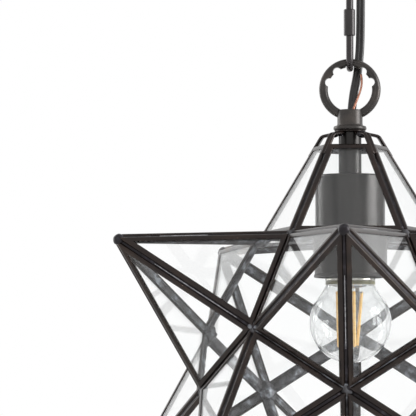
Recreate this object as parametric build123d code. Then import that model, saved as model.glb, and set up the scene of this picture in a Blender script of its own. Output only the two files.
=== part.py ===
from build123d import *
import os
from math import asin, atan2, cos, pi, radians, sin, sqrt, tan

# Glass star pendant: a twelve-pointed star of leaded glass that hangs from a
# ceiling canopy on a short chain. Millimetres, +Z up. The origin is the centre
# of the ceiling face, so everything else lies below it.

# ---------------------------------------------------------------- the star
CORE_RADIUS = 87.6        # star centre to a node where three points meet
TIP_REACH = 152.0         # star centre to the end of a point
SIDES = 5                 # panes in one point
CAME_THICKNESS = 2.8      # channel, measured through the pane
CAME_WIDTH = 3.0          # channel lip, measured in the pane's plane
CAME_WEB = 0.8            # channel's closed edge
GLASS_THICKNESS = 1.8
GLASS_EDGE_CLEARANCE = 0.2
SOLDER_GAP = 0.1          # between neighbouring channels
SOLDER_DEPTH = 1.2        # how deep a seam fills its groove
SOLDER_END = 3.0          # seams stop this far from a node or tip
TOP_OPENING_HEIGHT = 50.4  # the top point ends this far above its base
DOOR_GAP = 0.5            # round the hinged bottom point

# ---------------------------------------------------------------- loops and chain
LOOP_BAR = 4.8            # section of the cast ring
LOOP_RADIUS = 14.7        # ring's centre line
RING_SECTION_SIDES = 8
SCALLOPS = 5
SCALLOP_PITCH = 33.0      # degrees between notches
SCALLOP_DEPTH_RADIUS = 14.0   # ring centre to a notch's floor
SCALLOP_RADIUS = 3.6
SCALLOP_STRAIGHT = 1.8    # width of a notch's plain floor
SCALLOP_FLARE = 1.0       # the cast notch opens out by this towards both faces
NECK_RADIUS = 6.85
NECK_HEIGHT = 9.0
NECK_EDGE = 0.5           # rounding of the neck's top
NECK_FOOT = 0.5           # hollow between neck and flange
FLANGE_RADIUS = 9.05
FLANGE_HEIGHT = 2.6
FLANGE_UPPER_ROUND = 1.4  # the flange is a bead, fuller above than below
FLANGE_LOWER_ROUND = 0.8
LOOP_CENTRE_HEIGHT = 23.1  # flange face to ring centre
CORD_BORE = 4.6
LINK_WIRE = 3.6
LINK_LENGTH = 38.0
LINK_WIDTH = 18.0
QUICK_WIRE = 3.8
QUICK_LENGTH = 54.0
QUICK_WIDTH = 17.0
QUICK_GAP = 8.0           # opening in the leg that the sleeve closes
QUICK_GRIP = 2.5          # the closed sleeve reaches this far below the gap
SLEEVE_RADIUS = 3.2
SLEEVE_LENGTH = 15.0
SLEEVE_ROUND = 0.7
SLEEVE_CLEARANCE = 0.05
LINK_CLEARANCE = 0.3      # between two links, and between link and ring

# ---------------------------------------------------------------- ceiling parts
CANOPY_RADIUS = 63.5
CANOPY_DEPTH = 25.0
CANOPY_SHEET = 0.9
CANOPY_FLAT_RADIUS = 22.0
CANOPY_FLAT_ROUND = 12.0  # from the flat into the slope
CANOPY_EDGE_ROUND = 5.0   # from the slope into the rim
CANOPY_RIM_HEIGHT = 16.0  # the rim starts this far below the ceiling
CANOPY_RIM_LEAN = 4.0     # and leans in by this
CROSSBAR_LENGTH = 105.0
CROSSBAR_WIDTH = 16.0
CROSSBAR_SHEET = 2.0
CROSSBAR_DROP = 7.0       # the middle hangs lower than the ends
CROSSBAR_FLAT = 36.0      # length of the dropped middle
CROSSBAR_RAMP = 8.0
BOX_SCREW_SPACING = 88.9  # ceiling box screws
BOX_SCREW_HOLE = 2.3
GROUND_SCREW_X = 12.0
GROUND_SCREW_RADIUS = 2.0
GROUND_HEAD_RADIUS = 3.6
GROUND_HEAD_HEIGHT = 1.8
GROUND_SHANK = 5.0

# ---------------------------------------------------------------- stem and socket
NIPPLE_RADIUS = 4.95      # threaded tube
NIPPLE_BORE = 3.8
THREAD_CLEARANCE = 0.05
NIPPLE_ENGAGEMENT = 6.5   # depth of its socket in a neck or lampholder
NIPPLE_SHORT = 0.2        # it ends this short of a socket's floor
NIPPLE_PROUD = 1.0        # it stands this far out of the upper nut
NUT_ACROSS_FLATS = 14.0
NUT_THICKNESS = 2.6
STEM_RADIUS = 6.0
STEM_LENGTH = 24.5
CROWN_SHEET = 0.9         # washer under the flange
CROWN_WASHER_RADIUS = 8.6
CROWN_ROD = 2.8
CROWN_INNER_DROP = 1.9    # rod centre below the washer's top, at its rim
CROWN_SLOPE = 10.5        # degrees, rods fall outwards
CROWN_BEND = 3.2
CROWN_JOIN = 1.6          # a rod's end lies this far inside the washer's rim
CROWN_RISE = 9.19         # flange's underside above the top opening
CROWN_TAIL = 9.0          # rod soldered in the groove below the opening
CUP_RADIUS = 19.5
CUP_LENGTH = 56.7
CUP_SHEET = 0.9
CUP_CORNER = 1.6
HOLDER_RADIUS = 17.0
HOLDER_LENGTH = 44.0
HOLDER_RECESS = 4.5       # lampholder sits this far inside the cup's mouth
HOLDER_MOUTH_ROUND = 1.0
HOLDER_TOP_ROUND = 3.0
SHELL_CLEARANCE = 0.4     # between the bulb's cap and the brass shell
SHELL_SHEET = 0.5
SHELL_LENGTH = 27.0
SHELL_RECESS = 2.0
CONTACT_WIDTH = 6.0
CONTACT_SHEET = 0.6
CONTACT_PAD = 3.6         # level end of the tongue, past the middle
CONTACT_MARGIN = 1.0      # tongue's other end to the shell
CONTACT_CLEARANCE = 0.3   # tongue to the bulb's tip

# ---------------------------------------------------------------- bulb
BULB_RADIUS = 22.6
BULB_NECK_RADIUS = 14.0
BULB_SHOULDER_RADIUS = 19.7
BULB_SHOULDER_DROP = 7.5  # shoulder below the glass's top
BULB_GLASS = 0.8
BULB_LENGTH = 43.6        # glass below the cap's rim
BULB_WIDEST = 22.6        # widest place, above the lowest point
CAP_RADIUS = 13.2
CAP_RIM_RADIUS = 13.65
CAP_RIM_HEIGHT = 3.7
CAP_RIM_ROLL = 1.2        # the rim narrows to the shell over this height
CAP_LENGTH = 22.0
CAP_TAPER = 2.5           # height of the cap's cone at the insulator
CAP_SHEET = 0.4
CAP_SHOW = 0.4            # rim starts this far below the cup's mouth
INSULATOR_HEIGHT = 3.6
INSULATOR_RADIUS = 10.0
CONTACT_TIP_RADIUS = 4.5
CONTACT_TIP_HEIGHT = 1.4
CONTACT_TIP_LEAN = 0.5    # the tip's side leans by this either way
MOUNT_ROD_RADIUS = 1.5
MOUNT_FLARE_RADIUS = 9.5
MOUNT_FLARE_SHEET = 1.0
MOUNT_PINCH_RADIUS = 2.4
MOUNT_PINCH_LENGTH = 3.0  # centred on the filaments' upper ends
MOUNT_TAPER = 2.0         # from the pinch down to the rod
MOUNT_TAIL = 1.0          # the rod goes on below the filaments
FILAMENTS = 4
FILAMENT_RADIUS = 0.85
FILAMENT_TOP_RING = 7.3
FILAMENT_LOW_RING = 6.4
FILAMENT_DROP = 3.8       # upper ends below the glass's top
FILAMENT_LENGTH = 31.0
FILAMENT_TURN = 18.0
SUPPORT_WIRE = 0.35
SUPPORT_INSET = 0.6       # a wire meets its filament this far from the end
WIRE_REACH = 0.02         # a wire's end stays this short of its filament

# ---------------------------------------------------------------- door hinge
PIN_RADIUS = 0.8
PIN_CLEARANCE = 0.05
PIN_PROUD = 0.5           # past each end of the barrels
BARREL_RADIUS = 1.7
BARREL_GAP = 0.2
HINGE_LENGTH = 16.0
LEAF_SHEET = 0.8
LEAF_REACH = 3.4          # from the pin's foot across the channel

# ---------------------------------------------------------------- cord and wire
CORD_RADIUS = 2.5
CORD_TAIL = 40.0          # in the stem, below the star ring's centre
CORD_HEAD = 44.0          # in the canopy, above the canopy ring's centre
CORD_NECK = 11.0          # in a neck, short of its ring's centre
CORD_SWING = 14.5         # past a ring's centre, where it has swung aside
CORD_BESIDE = 45.0        # past a ring's centre, where it runs beside the chain
CORD_BORE_Y = 0.5
CORD_NECK_X = 0.1
CORD_NECK_Y = 0.6
CORD_SWING_X = 5.4
CORD_SWING_Y = 6.0
CORD_BESIDE_X = 6.1
CORD_BESIDE_Y = 5.7
CORD_BEND_SHARE = 0.45    # of the shorter run, that a bend takes up
GROUND_WIRE_RADIUS = 0.6
# the earth wire's way past the ring, in shares of the ring's centre line radius
GROUND_ROUTE = [
    (0.422, 0.054, 0.585), (0.476, 0.061, 0.306), (0.381, 0.014, -0.136),
    (0.150, -0.156, -0.714), (0.054, -0.184, -1.088), (0.048, -0.177, -1.633),
]

# ---------------------------------------------------------------- derived places
PHI = (1 + sqrt(5)) / 2
EDGE = CORE_RADIUS * 4 / (sqrt(3) * 2 * PHI)
BASE_RADIUS = EDGE / (2 * sin(pi / SIDES))            # point's base, centre to node
BASE_INRADIUS = BASE_RADIUS * cos(pi / SIDES)
BASE_HEIGHT = sqrt(CORE_RADIUS ** 2 - BASE_RADIUS ** 2)   # star centre to a base
POINT_HEIGHT = TIP_REACH - BASE_HEIGHT
PANE_HEIGHT = sqrt(POINT_HEIGHT ** 2 + BASE_INRADIUS ** 2)
PANE_SIDE = sqrt(PANE_HEIGHT ** 2 + (EDGE / 2) ** 2)
PANE_TILT = atan2(POINT_HEIGHT, BASE_INRADIUS)        # pane to base plane
CORE_DIHEDRAL = 2 * atan2(PHI, 1)                     # between two bases
VALLEY_HALF = (2 * pi - CORE_DIHEDRAL - 2 * PANE_TILT) / 2
RIDGE_HALF = (pi - 2 * asin(sin(PANE_TILT) * sin(pi / SIDES))) / 2
VALLEY_INSET = CAME_THICKNESS / 2 / tan(VALLEY_HALF) + SOLDER_GAP / 2
RIDGE_INSET = CAME_THICKNESS / 2 / tan(RIDGE_HALF) + SOLDER_GAP / 2
GLASS_INSET = CAME_WEB + GLASS_EDGE_CLEARANCE
TOP_CUT = TOP_OPENING_HEIGHT / sin(PANE_TILT)         # up the pane from its base edge
STAR_DROP = BASE_HEIGHT + TOP_OPENING_HEIGHT + CROWN_RISE   # flange to the star's centre

CANOPY_FACE = -CANOPY_DEPTH                           # underside of the canopy
CANOPY_RING_Z = CANOPY_FACE - LOOP_CENTRE_HEIGHT
UPPER_LINK_TOP = CANOPY_RING_Z - SCALLOP_DEPTH_RADIUS + LINK_WIRE / 2 + LINK_CLEARANCE
UPPER_LINK_LOW = UPPER_LINK_TOP - (LINK_LENGTH - LINK_WIRE)
LOWER_LINK_TOP = UPPER_LINK_LOW + LINK_WIRE + LINK_CLEARANCE
LOWER_LINK_LOW = LOWER_LINK_TOP - (LINK_LENGTH - LINK_WIRE)
QUICK_TOP = LOWER_LINK_LOW + (LINK_WIRE + QUICK_WIRE) / 2 + LINK_CLEARANCE
QUICK_LOW = QUICK_TOP - (QUICK_LENGTH - QUICK_WIRE)
STAR_RING_Z = QUICK_LOW + QUICK_WIRE / 2 + LINK_CLEARANCE - SCALLOP_DEPTH_RADIUS
FLANGE_Z = STAR_RING_Z - LOOP_CENTRE_HEIGHT           # underside of the star's loop
STEM_TOP = FLANGE_Z - CROWN_SHEET
CUP_TOP = STEM_TOP - STEM_LENGTH
CUP_MOUTH = CUP_TOP - CUP_LENGTH
BULB_RIM = CUP_MOUTH - CAP_SHOW                       # top of the cap's rim
GLASS_TOP = BULB_RIM - CAP_RIM_HEIGHT
BULB_LOW = GLASS_TOP - BULB_LENGTH
BULB_TIP = BULB_RIM + CAP_LENGTH + INSULATOR_HEIGHT + CONTACT_TIP_HEIGHT
FILAMENT_TOP = GLASS_TOP - FILAMENT_DROP
FILAMENT_LOW = FILAMENT_TOP - FILAMENT_LENGTH
SHELL_RADIUS = CAP_RADIUS + SHELL_CLEARANCE + SHELL_SHEET
HOLDER_LOW = CUP_MOUTH + HOLDER_RECESS
HOLDER_TOP = HOLDER_LOW + HOLDER_LENGTH
SHELL_LOW = HOLDER_LOW + SHELL_RECESS
SHELL_TOP = SHELL_LOW + SHELL_LENGTH
STAR_Z = FLANGE_Z - STAR_DROP                         # star centre
STAR = Vector(0, 0, STAR_Z)

MIN_Z = (Align.CENTER, Align.CENTER, Align.MIN)


# ---------------------------------------------------------------- small shapes
def turned(points, rounds=None):
    """A solid of revolution about Z from (radius, z) corners; rounds maps a
    corner's number to its fillet radius."""
    corners = [(r, 0, z) for r, z in points]
    face = make_face(Polyline(*corners, close=True))
    for number, radius in (rounds or {}).items():
        corner = Vector(*corners[number])
        nearest = min(face.vertices(), key=lambda v: (Vector(v) - corner).length)
        face = fillet(nearest, radius)
    return revolve(face, Axis.Z)


def rod(start, end, radius):
    """A round bar between two points."""
    axis = Vector(*end) - Vector(*start)
    place = Plane(origin=Vector(*start), z_dir=axis)
    return place * Cylinder(radius, axis.length, align=MIN_Z)


def hex_nut(z, thickness):
    """A nut on the threaded tube, standing on height z."""
    body = extrude(RegularPolygon(NUT_ACROSS_FLATS / 2, 6, major_radius=False), thickness)
    return Pos(0, 0, z) * (body - Cylinder(NIPPLE_RADIUS + THREAD_CLEARANCE, 4 * thickness))


def threaded_tube(low, high):
    """The hollow nipple that the cord runs through."""
    tube = Cylinder(NIPPLE_RADIUS, high - low, align=MIN_Z)
    return Pos(0, 0, low) * (tube - Cylinder(NIPPLE_BORE, 3 * (high - low)))


# ---------------------------------------------------------------- hanging parts
def notch_cutters(angle):
    """One notch of the ring: a round cut across it and a flare towards each face."""
    middle = SCALLOP_DEPTH_RADIUS - SCALLOP_RADIUS
    straight = Cylinder(SCALLOP_RADIUS, 2 * LOOP_BAR)
    flare = Cone(SCALLOP_RADIUS, SCALLOP_RADIUS + SCALLOP_FLARE, LOOP_BAR / 2, align=MIN_Z)
    flare = Pos(0, 0, SCALLOP_STRAIGHT / 2) * flare
    across = Rot(0, -angle, 0) * Pos(middle, 0, 0) * Rot(90, 0, 0)
    return [across * cut for cut in (straight, flare, Rot(180, 0, 0) * flare)]


def cast_loop():
    """Ring, neck and flange in one casting: flange face at 0, ring above."""
    corner = LOOP_BAR / 2 / cos(pi / RING_SECTION_SIDES)
    angles = [2 * pi * (number + 0.5) / RING_SECTION_SIDES for number in range(RING_SECTION_SIDES)]
    section = [(LOOP_RADIUS + corner * cos(angle), corner * sin(angle)) for angle in angles]
    ring = revolve(make_face(Polyline(*section, close=True)), Axis.Y)
    first = 90 - SCALLOP_PITCH * (SCALLOPS - 1) / 2
    for number in range(SCALLOPS):
        for cut in notch_cutters(first + SCALLOP_PITCH * number):
            ring -= cut
    ring = Pos(0, 0, LOOP_CENTRE_HEIGHT) * ring
    neck_top = FLANGE_HEIGHT + NECK_HEIGHT
    neck = turned(
        [
            (0, 0),
            (FLANGE_RADIUS, 0),
            (FLANGE_RADIUS, FLANGE_HEIGHT),
            (NECK_RADIUS, FLANGE_HEIGHT),
            (NECK_RADIUS, neck_top),
            (0, neck_top),
        ],
        {1: FLANGE_LOWER_ROUND, 2: FLANGE_UPPER_ROUND, 3: NECK_FOOT, 4: NECK_EDGE},
    )
    bore = Cylinder(CORD_BORE, 3 * neck_top)
    socket = Cylinder(NIPPLE_RADIUS + THREAD_CLEARANCE, 2 * NIPPLE_ENGAGEMENT)
    return ring + neck - bore - socket


def oval_link(length, width, wire):
    """A closed link in the YZ plane, centred on the origin."""
    straight = length - width
    bend = (width - wire) / 2
    section = wire / 2
    link = Part()
    for side in (-1, 1):
        leg = Cylinder(section, straight)
        link += Pos(0, side * bend, 0) * leg
        half_ring = revolve(
            Plane.XY * Pos(0, bend) * Circle(section), Axis.X, revolution_arc=180
        )
        turn = half_ring if side > 0 else Rot(180, 0, 0) * half_ring
        link += Pos(0, 0, side * straight / 2) * turn
    return link


def chain_link(top, across):
    """A steel link hung by its top wire; across turns it a quarter turn."""
    link = oval_link(LINK_LENGTH, LINK_WIDTH, LINK_WIRE)
    return Pos(0, 0, top - (LINK_LENGTH - LINK_WIRE) / 2) * Rot(0, 0, across) * link


def quick_link():
    """The opening link: one leg is cut and threaded for the sleeve."""
    link = oval_link(QUICK_LENGTH, QUICK_WIDTH, QUICK_WIRE)
    leg = -(QUICK_WIDTH - QUICK_WIRE) / 2
    gap = Pos(0, leg, QUICK_GAP / 2 + QUICK_GRIP - SLEEVE_LENGTH / 2)
    link -= gap * Cylinder(QUICK_WIRE, QUICK_GAP)
    return Pos(0, 0, (QUICK_TOP + QUICK_LOW) / 2) * link


def quick_sleeve():
    """The round nut that closes the quick link."""
    leg = -(QUICK_WIDTH - QUICK_WIRE) / 2
    body = Cylinder(SLEEVE_RADIUS, SLEEVE_LENGTH)
    body = fillet(body.edges().filter_by(GeomType.CIRCLE), SLEEVE_ROUND)
    body -= Cylinder(QUICK_WIRE / 2 + SLEEVE_CLEARANCE, 2 * SLEEVE_LENGTH)
    return Pos(0, leg, (QUICK_TOP + QUICK_LOW) / 2) * body


# ---------------------------------------------------------------- ceiling parts
def ceiling_canopy():
    """A spun steel dish, open towards the ceiling, with a hole for the nipple."""
    corner = CANOPY_RADIUS - CANOPY_RIM_LEAN
    outer = turned(
        [
            (0, CANOPY_FACE),
            (CANOPY_FLAT_RADIUS, CANOPY_FACE),
            (corner, -CANOPY_RIM_HEIGHT),
            (CANOPY_RADIUS, 0),
            (0, 0),
        ],
        {1: CANOPY_FLAT_ROUND, 2: CANOPY_EDGE_ROUND},
    )
    sheet = CANOPY_SHEET
    inner = turned(
        [
            (0, CANOPY_FACE + sheet),
            (CANOPY_FLAT_RADIUS, CANOPY_FACE + sheet),
            (corner - sheet, sheet - CANOPY_RIM_HEIGHT),
            (CANOPY_RADIUS - sheet, sheet),
            (0, sheet),
        ],
        {1: CANOPY_FLAT_ROUND, 2: CANOPY_EDGE_ROUND - sheet},
    )
    hole = Pos(0, 0, CANOPY_FACE) * Cylinder(NIPPLE_RADIUS + THREAD_CLEARANCE, CANOPY_DEPTH)
    return outer - inner - hole


def mounting_crossbar():
    """A bent steel strap: its ends go against the ceiling box."""
    flat = CROSSBAR_FLAT / 2
    ramp = flat + CROSSBAR_RAMP
    end = CROSSBAR_LENGTH / 2
    low = -CROSSBAR_DROP
    upper = [(end, 0), (ramp, 0), (flat, low), (-flat, low), (-ramp, 0), (-end, 0)]
    lower = [(x, z - CROSSBAR_SHEET) for x, z in reversed(upper)]
    outline = [(x, 0, z) for x, z in upper + lower]
    bar = extrude(make_face(Polyline(*outline, close=True)), CROSSBAR_WIDTH / 2, both=True)
    deep = 4 * CROSSBAR_DROP
    for x in (-BOX_SCREW_SPACING / 2, BOX_SCREW_SPACING / 2):
        bar -= Pos(x, 0, 0) * Cylinder(BOX_SCREW_HOLE, deep)
    bar -= Pos(GROUND_SCREW_X, 0, 0) * Cylinder(GROUND_SCREW_RADIUS + THREAD_CLEARANCE, deep)
    return bar - Cylinder(NIPPLE_RADIUS + THREAD_CLEARANCE, deep)


def ground_screw():
    """The earthing screw in the crossbar, head below."""
    seat = -CROSSBAR_DROP - CROSSBAR_SHEET
    head = Pos(GROUND_SCREW_X, 0, seat - GROUND_HEAD_HEIGHT) * Cylinder(
        GROUND_HEAD_RADIUS, GROUND_HEAD_HEIGHT, align=MIN_Z
    )
    shank = Pos(GROUND_SCREW_X, 0, seat - GROUND_HEAD_HEIGHT / 2) * Cylinder(
        GROUND_SCREW_RADIUS, GROUND_SHANK, align=MIN_Z
    )
    return head + shank


# ---------------------------------------------------------------- stem and socket
def ridge_frame():
    """Unit vectors of a top ridge in its own (radius, height) plane: up, out."""
    length = sqrt(BASE_RADIUS ** 2 + POINT_HEIGHT ** 2)
    up = (-BASE_RADIUS / length, POINT_HEIGHT / length)
    return up, (up[1], -up[0])


def hanger_crown():
    """A washer with five bent rods: they hold the star by its upper ridges."""
    up, out = ridge_frame()
    groove_floor = -(RIDGE_INSET * cos(RIDGE_HALF) + CAME_THICKNESS / 2 * sin(RIDGE_HALF))
    lift = groove_floor + CROWN_ROD / 2 / sin(pi / 2 - RIDGE_HALF)
    base = (BASE_RADIUS + out[0] * lift, BASE_HEIGHT + out[1] * lift)
    rim = (CROWN_WASHER_RADIUS, FLANGE_Z - STAR_Z - CROWN_INNER_DROP)
    slope = tan(radians(CROWN_SLOPE))
    # the ridge line base + s * up meets the arm line through rim
    s = (rim[1] - base[1] + slope * (rim[0] - base[0])) / (up[1] + slope * up[0])
    corner = (base[0] + s * up[0], base[1] + s * up[1])
    tail = (TOP_OPENING_HEIGHT - CROWN_TAIL) / up[1]
    low = (base[0] + tail * up[0], base[1] + tail * up[1])
    inner = (rim[0] - CROWN_JOIN, rim[1] + CROWN_JOIN * slope)
    crown = Pos(0, 0, STEM_TOP) * Cylinder(CROWN_WASHER_RADIUS, CROWN_SHEET, align=MIN_Z)
    for number in range(SIDES):
        angle = radians(-90 + 36 + 72 * number)
        route = [
            Vector(r * cos(angle), r * sin(angle), STAR_Z + z) for r, z in (low, corner, inner)
        ]
        path = FilletPolyline(*route, radius=CROWN_BEND)
        section = Plane(origin=path @ 0, z_dir=path % 0) * Circle(CROWN_ROD / 2)
        crown += sweep(section, path)
    hole = Pos(0, 0, STEM_TOP) * Cylinder(NIPPLE_RADIUS + THREAD_CLEARANCE, 4 * CROWN_ROD)
    return crown - hole


def stem_tube():
    """The plain tube between flange and cup."""
    tube = Cylinder(STEM_RADIUS, STEM_LENGTH, align=MIN_Z)
    bore = Cylinder(NIPPLE_RADIUS + THREAD_CLEARANCE, 3 * STEM_LENGTH)
    return Pos(0, 0, CUP_TOP) * (tube - bore)


def socket_cup():
    """The spun cup that hides the lampholder, open below."""
    outer = turned(
        [(0, CUP_MOUTH), (CUP_RADIUS, CUP_MOUTH), (CUP_RADIUS, CUP_TOP), (0, CUP_TOP)],
        {2: CUP_CORNER},
    )
    wall = CUP_RADIUS - CUP_SHEET
    roof = CUP_TOP - CUP_SHEET
    below = CUP_MOUTH - CUP_SHEET
    inner = turned(
        [(0, below), (wall, below), (wall, roof), (0, roof)],
        {2: CUP_CORNER - CUP_SHEET},
    )
    hole = Pos(0, 0, CUP_TOP) * Cylinder(NIPPLE_RADIUS + THREAD_CLEARANCE, 4 * CUP_SHEET)
    return outer - inner - hole


def lampholder():
    """The moulded body that holds the screw shell; the nipple enters its top."""
    body = turned(
        [(0, HOLDER_LOW), (HOLDER_RADIUS, HOLDER_LOW), (HOLDER_RADIUS, HOLDER_TOP), (0, HOLDER_TOP)],
        {1: HOLDER_MOUTH_ROUND, 2: HOLDER_TOP_ROUND},
    )
    deep = 2 * (SHELL_TOP - HOLDER_LOW)
    mouth = Pos(0, 0, SHELL_TOP - deep) * Cylinder(SHELL_RADIUS, deep, align=MIN_Z)
    thread = Pos(0, 0, HOLDER_TOP) * Cylinder(
        NIPPLE_RADIUS + THREAD_CLEARANCE, 2 * NIPPLE_ENGAGEMENT
    )
    return body - mouth - thread


def screw_shell():
    """The brass shell inside the lampholder."""
    shell = Cylinder(SHELL_RADIUS, SHELL_LENGTH, align=MIN_Z)
    shell -= Cylinder(SHELL_RADIUS - SHELL_SHEET, 3 * SHELL_LENGTH)
    return Pos(0, 0, SHELL_LOW) * shell


def centre_contact():
    """A brass tongue: flat on the well's end, bent down to the bulb's tip."""
    reach = SHELL_RADIUS - SHELL_SHEET - CONTACT_MARGIN
    drop = SHELL_TOP - BULB_TIP - CONTACT_CLEARANCE
    upper = [(-reach, 0), (CONTACT_SHEET - reach / 2, 0), (0, CONTACT_SHEET - drop)]
    lower = [(0, -drop), (-reach / 2, -CONTACT_SHEET), (-reach, -CONTACT_SHEET)]
    outline = upper + [(CONTACT_PAD, CONTACT_SHEET - drop), (CONTACT_PAD, -drop)] + lower
    side = Plane.XZ * make_face(Polyline(*outline, close=True))
    return Pos(0, 0, SHELL_TOP) * extrude(side, CONTACT_WIDTH / 2, both=True)


# ---------------------------------------------------------------- bulb
def envelope(inset):
    """The bulb's blown glass, drawn in by inset: neck, shoulder and round end."""
    widest = BULB_LOW + BULB_WIDEST
    radius = BULB_RADIUS - inset
    neck = BULB_NECK_RADIUS - inset
    low = BULB_LOW + inset
    shoulder = (BULB_SHOULDER_RADIUS - inset, 0, GLASS_TOP - BULB_SHOULDER_DROP)
    low_arc = (radius * sin(radians(45)), 0, widest - (widest - low) * cos(radians(45)))
    profile = make_face(
        Polyline((0, 0, low), (0, 0, GLASS_TOP), (neck, 0, GLASS_TOP))
        + ThreePointArc((neck, 0, GLASS_TOP), shoulder, (radius, 0, widest))
        + ThreePointArc((radius, 0, widest), low_arc, (0, 0, low))
    )
    return revolve(profile, Axis.Z)


def bulb_cap():
    """The plated screw cap: a flared rim on a thin shell, open at the top."""
    cap_top = BULB_RIM + CAP_LENGTH
    thin = CAP_SHEET
    return turned(
        [
            (CAP_RIM_RADIUS, GLASS_TOP),
            (CAP_RIM_RADIUS, BULB_RIM - CAP_RIM_ROLL),
            (CAP_RADIUS, BULB_RIM),
            (CAP_RADIUS, cap_top - CAP_TAPER),
            (INSULATOR_RADIUS, cap_top),
            (INSULATOR_RADIUS - thin, cap_top - thin),
            (CAP_RADIUS - thin, cap_top - CAP_TAPER - thin),
            (CAP_RADIUS - thin, GLASS_TOP),
        ]
    )


def bulb_insulator():
    """Black glass plug with the metal contact tip on it."""
    seat = BULB_RIM + CAP_LENGTH
    return turned(
        [
            (0, seat - CAP_SHEET),
            (INSULATOR_RADIUS - CAP_SHEET, seat - CAP_SHEET),
            (INSULATOR_RADIUS - CAP_SHEET, seat),
            (CONTACT_TIP_RADIUS + CONTACT_TIP_LEAN, seat + INSULATOR_HEIGHT),
            (CONTACT_TIP_RADIUS - CONTACT_TIP_LEAN, BULB_TIP),
            (0, BULB_TIP),
        ]
    )


def bulb_mount():
    """The flared glass stem inside the bulb, with a long rod."""
    low = FILAMENT_LOW - MOUNT_TAIL
    pinch_low = FILAMENT_TOP - MOUNT_PINCH_LENGTH / 2
    return turned(
        [
            (0, low),
            (MOUNT_ROD_RADIUS, low),
            (MOUNT_ROD_RADIUS, pinch_low - MOUNT_TAPER),
            (MOUNT_PINCH_RADIUS, pinch_low),
            (MOUNT_PINCH_RADIUS, pinch_low + MOUNT_PINCH_LENGTH),
            (MOUNT_FLARE_RADIUS, GLASS_TOP - MOUNT_FLARE_SHEET),
            (MOUNT_FLARE_RADIUS, GLASS_TOP),
            (0, GLASS_TOP),
        ]
    )


def filament_ends(number):
    """Top and low end of one filament."""
    angle = radians(FILAMENT_TURN - 90 + 360 / FILAMENTS * number)
    top = (FILAMENT_TOP_RING * cos(angle), FILAMENT_TOP_RING * sin(angle), FILAMENT_TOP)
    low = (FILAMENT_LOW_RING * cos(angle), FILAMENT_LOW_RING * sin(angle), FILAMENT_LOW)
    return top, low


def bulb_filaments():
    """Straight coated rods standing round the glass stem."""
    return [rod(*filament_ends(number), FILAMENT_RADIUS) for number in range(FILAMENTS)]


def filament_supports():
    """Short wires from the glass stem to each filament's ends."""
    wires = []
    inset = SUPPORT_INSET
    for number in range(FILAMENTS):
        ends = zip(filament_ends(number), (MOUNT_PINCH_RADIUS, MOUNT_ROD_RADIUS), (-inset, inset))
        for end, stem, inwards in ends:
            level = Vector(end[0], end[1], 0)
            height = Vector(0, 0, end[2] + inwards)
            out = level.normalized()
            stop = out * (level.length - FILAMENT_RADIUS - WIRE_REACH)
            wires.append(rod(out * stem + height, stop + height, SUPPORT_WIRE))
    return wires


# ---------------------------------------------------------------- star geometry
def azimuth(angle):
    """Level unit vector; 0 looks towards -Y and angles grow towards +X."""
    return Vector(sin(radians(angle)), -cos(radians(angle)), 0)


def point_plane(axis, towards):
    """Base plane of a point: outward axis, and the side away from one base edge."""
    across = towards.cross(axis)
    return Plane(origin=STAR + axis * BASE_HEIGHT, x_dir=across, z_dir=axis)


def point_planes():
    """Base planes by name: top, five upper, five lower, bottom."""
    lean = 2 / sqrt(5)
    rise = 1 / sqrt(5)
    planes = {"top": point_plane(Vector(0, 0, 1), Vector(0, 1, 0))}
    for number in range(SIDES):
        level = azimuth(-144 + 72 * number)
        axis = level * lean + Vector(0, 0, rise)
        towards = level * rise - Vector(0, 0, lean)
        planes[f"upper_{number + 1}"] = point_plane(axis, towards)
    for number in range(SIDES):
        level = azimuth(-108 + 72 * number)
        axis = level * lean - Vector(0, 0, rise)
        towards = level * rise + Vector(0, 0, lean)
        planes[f"lower_{number + 1}"] = point_plane(axis, towards)
    planes["bottom"] = point_plane(Vector(0, 0, -1), Vector(0, -1, 0))
    return planes


def pane_outline(base_inset, side_inset, cut=None, cut_inset=0.0):
    """The pane's triangle, drawn in; with cut, the trapezoid below that height."""
    half = EDGE / 2
    share = 1 - side_inset * PANE_SIDE / (half * PANE_HEIGHT)
    low = half * (share - base_inset / PANE_HEIGHT)
    if cut is None:
        return [(-low, base_inset), (low, base_inset), (0, PANE_HEIGHT * share)]
    top = cut - cut_inset
    high = half * (share - top / PANE_HEIGHT)
    return [(-low, base_inset), (low, base_inset), (high, top), (-high, top)]


def plate(outline, thickness):
    """A flat plate of that outline, centred on the pane's middle plane."""
    face = make_face(Polyline(*outline, close=True))
    return extrude(face, thickness / 2, both=True)


def pane_came(base_inset, cut=None):
    """The soldered channel round one pane, with the groove that holds the glass."""
    steps = (0.0, CAME_WEB, CAME_WIDTH)
    outer, web, lip = [
        pane_outline(base_inset + step, RIDGE_INSET + step, cut, step) for step in steps
    ]
    return (
        plate(outer, CAME_THICKNESS)
        - plate(lip, 2 * CAME_THICKNESS)
        - plate(web, GLASS_THICKNESS)
    )


def pane_glass(base_inset, cut=None):
    """One pane of clear glass, its edges inside the channel."""
    step = GLASS_INSET
    outline = pane_outline(base_inset + step, RIDGE_INSET + step, cut, step)
    return plate(outline, GLASS_THICKNESS)


def pane_planes():
    """The five pane planes of a point, in the point's own base plane."""
    lean = BASE_INRADIUS / PANE_HEIGHT
    rise = POINT_HEIGHT / PANE_HEIGHT
    planes = []
    for number in range(SIDES):
        angle = radians(-90 + 72 * number)
        out = Vector(cos(angle), sin(angle), 0)
        planes.append(
            Plane(
                origin=out * BASE_INRADIUS,
                x_dir=Vector(-sin(angle), cos(angle), 0),
                z_dir=out * rise + Vector(0, 0, lean),
            )
        )
    return planes


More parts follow.
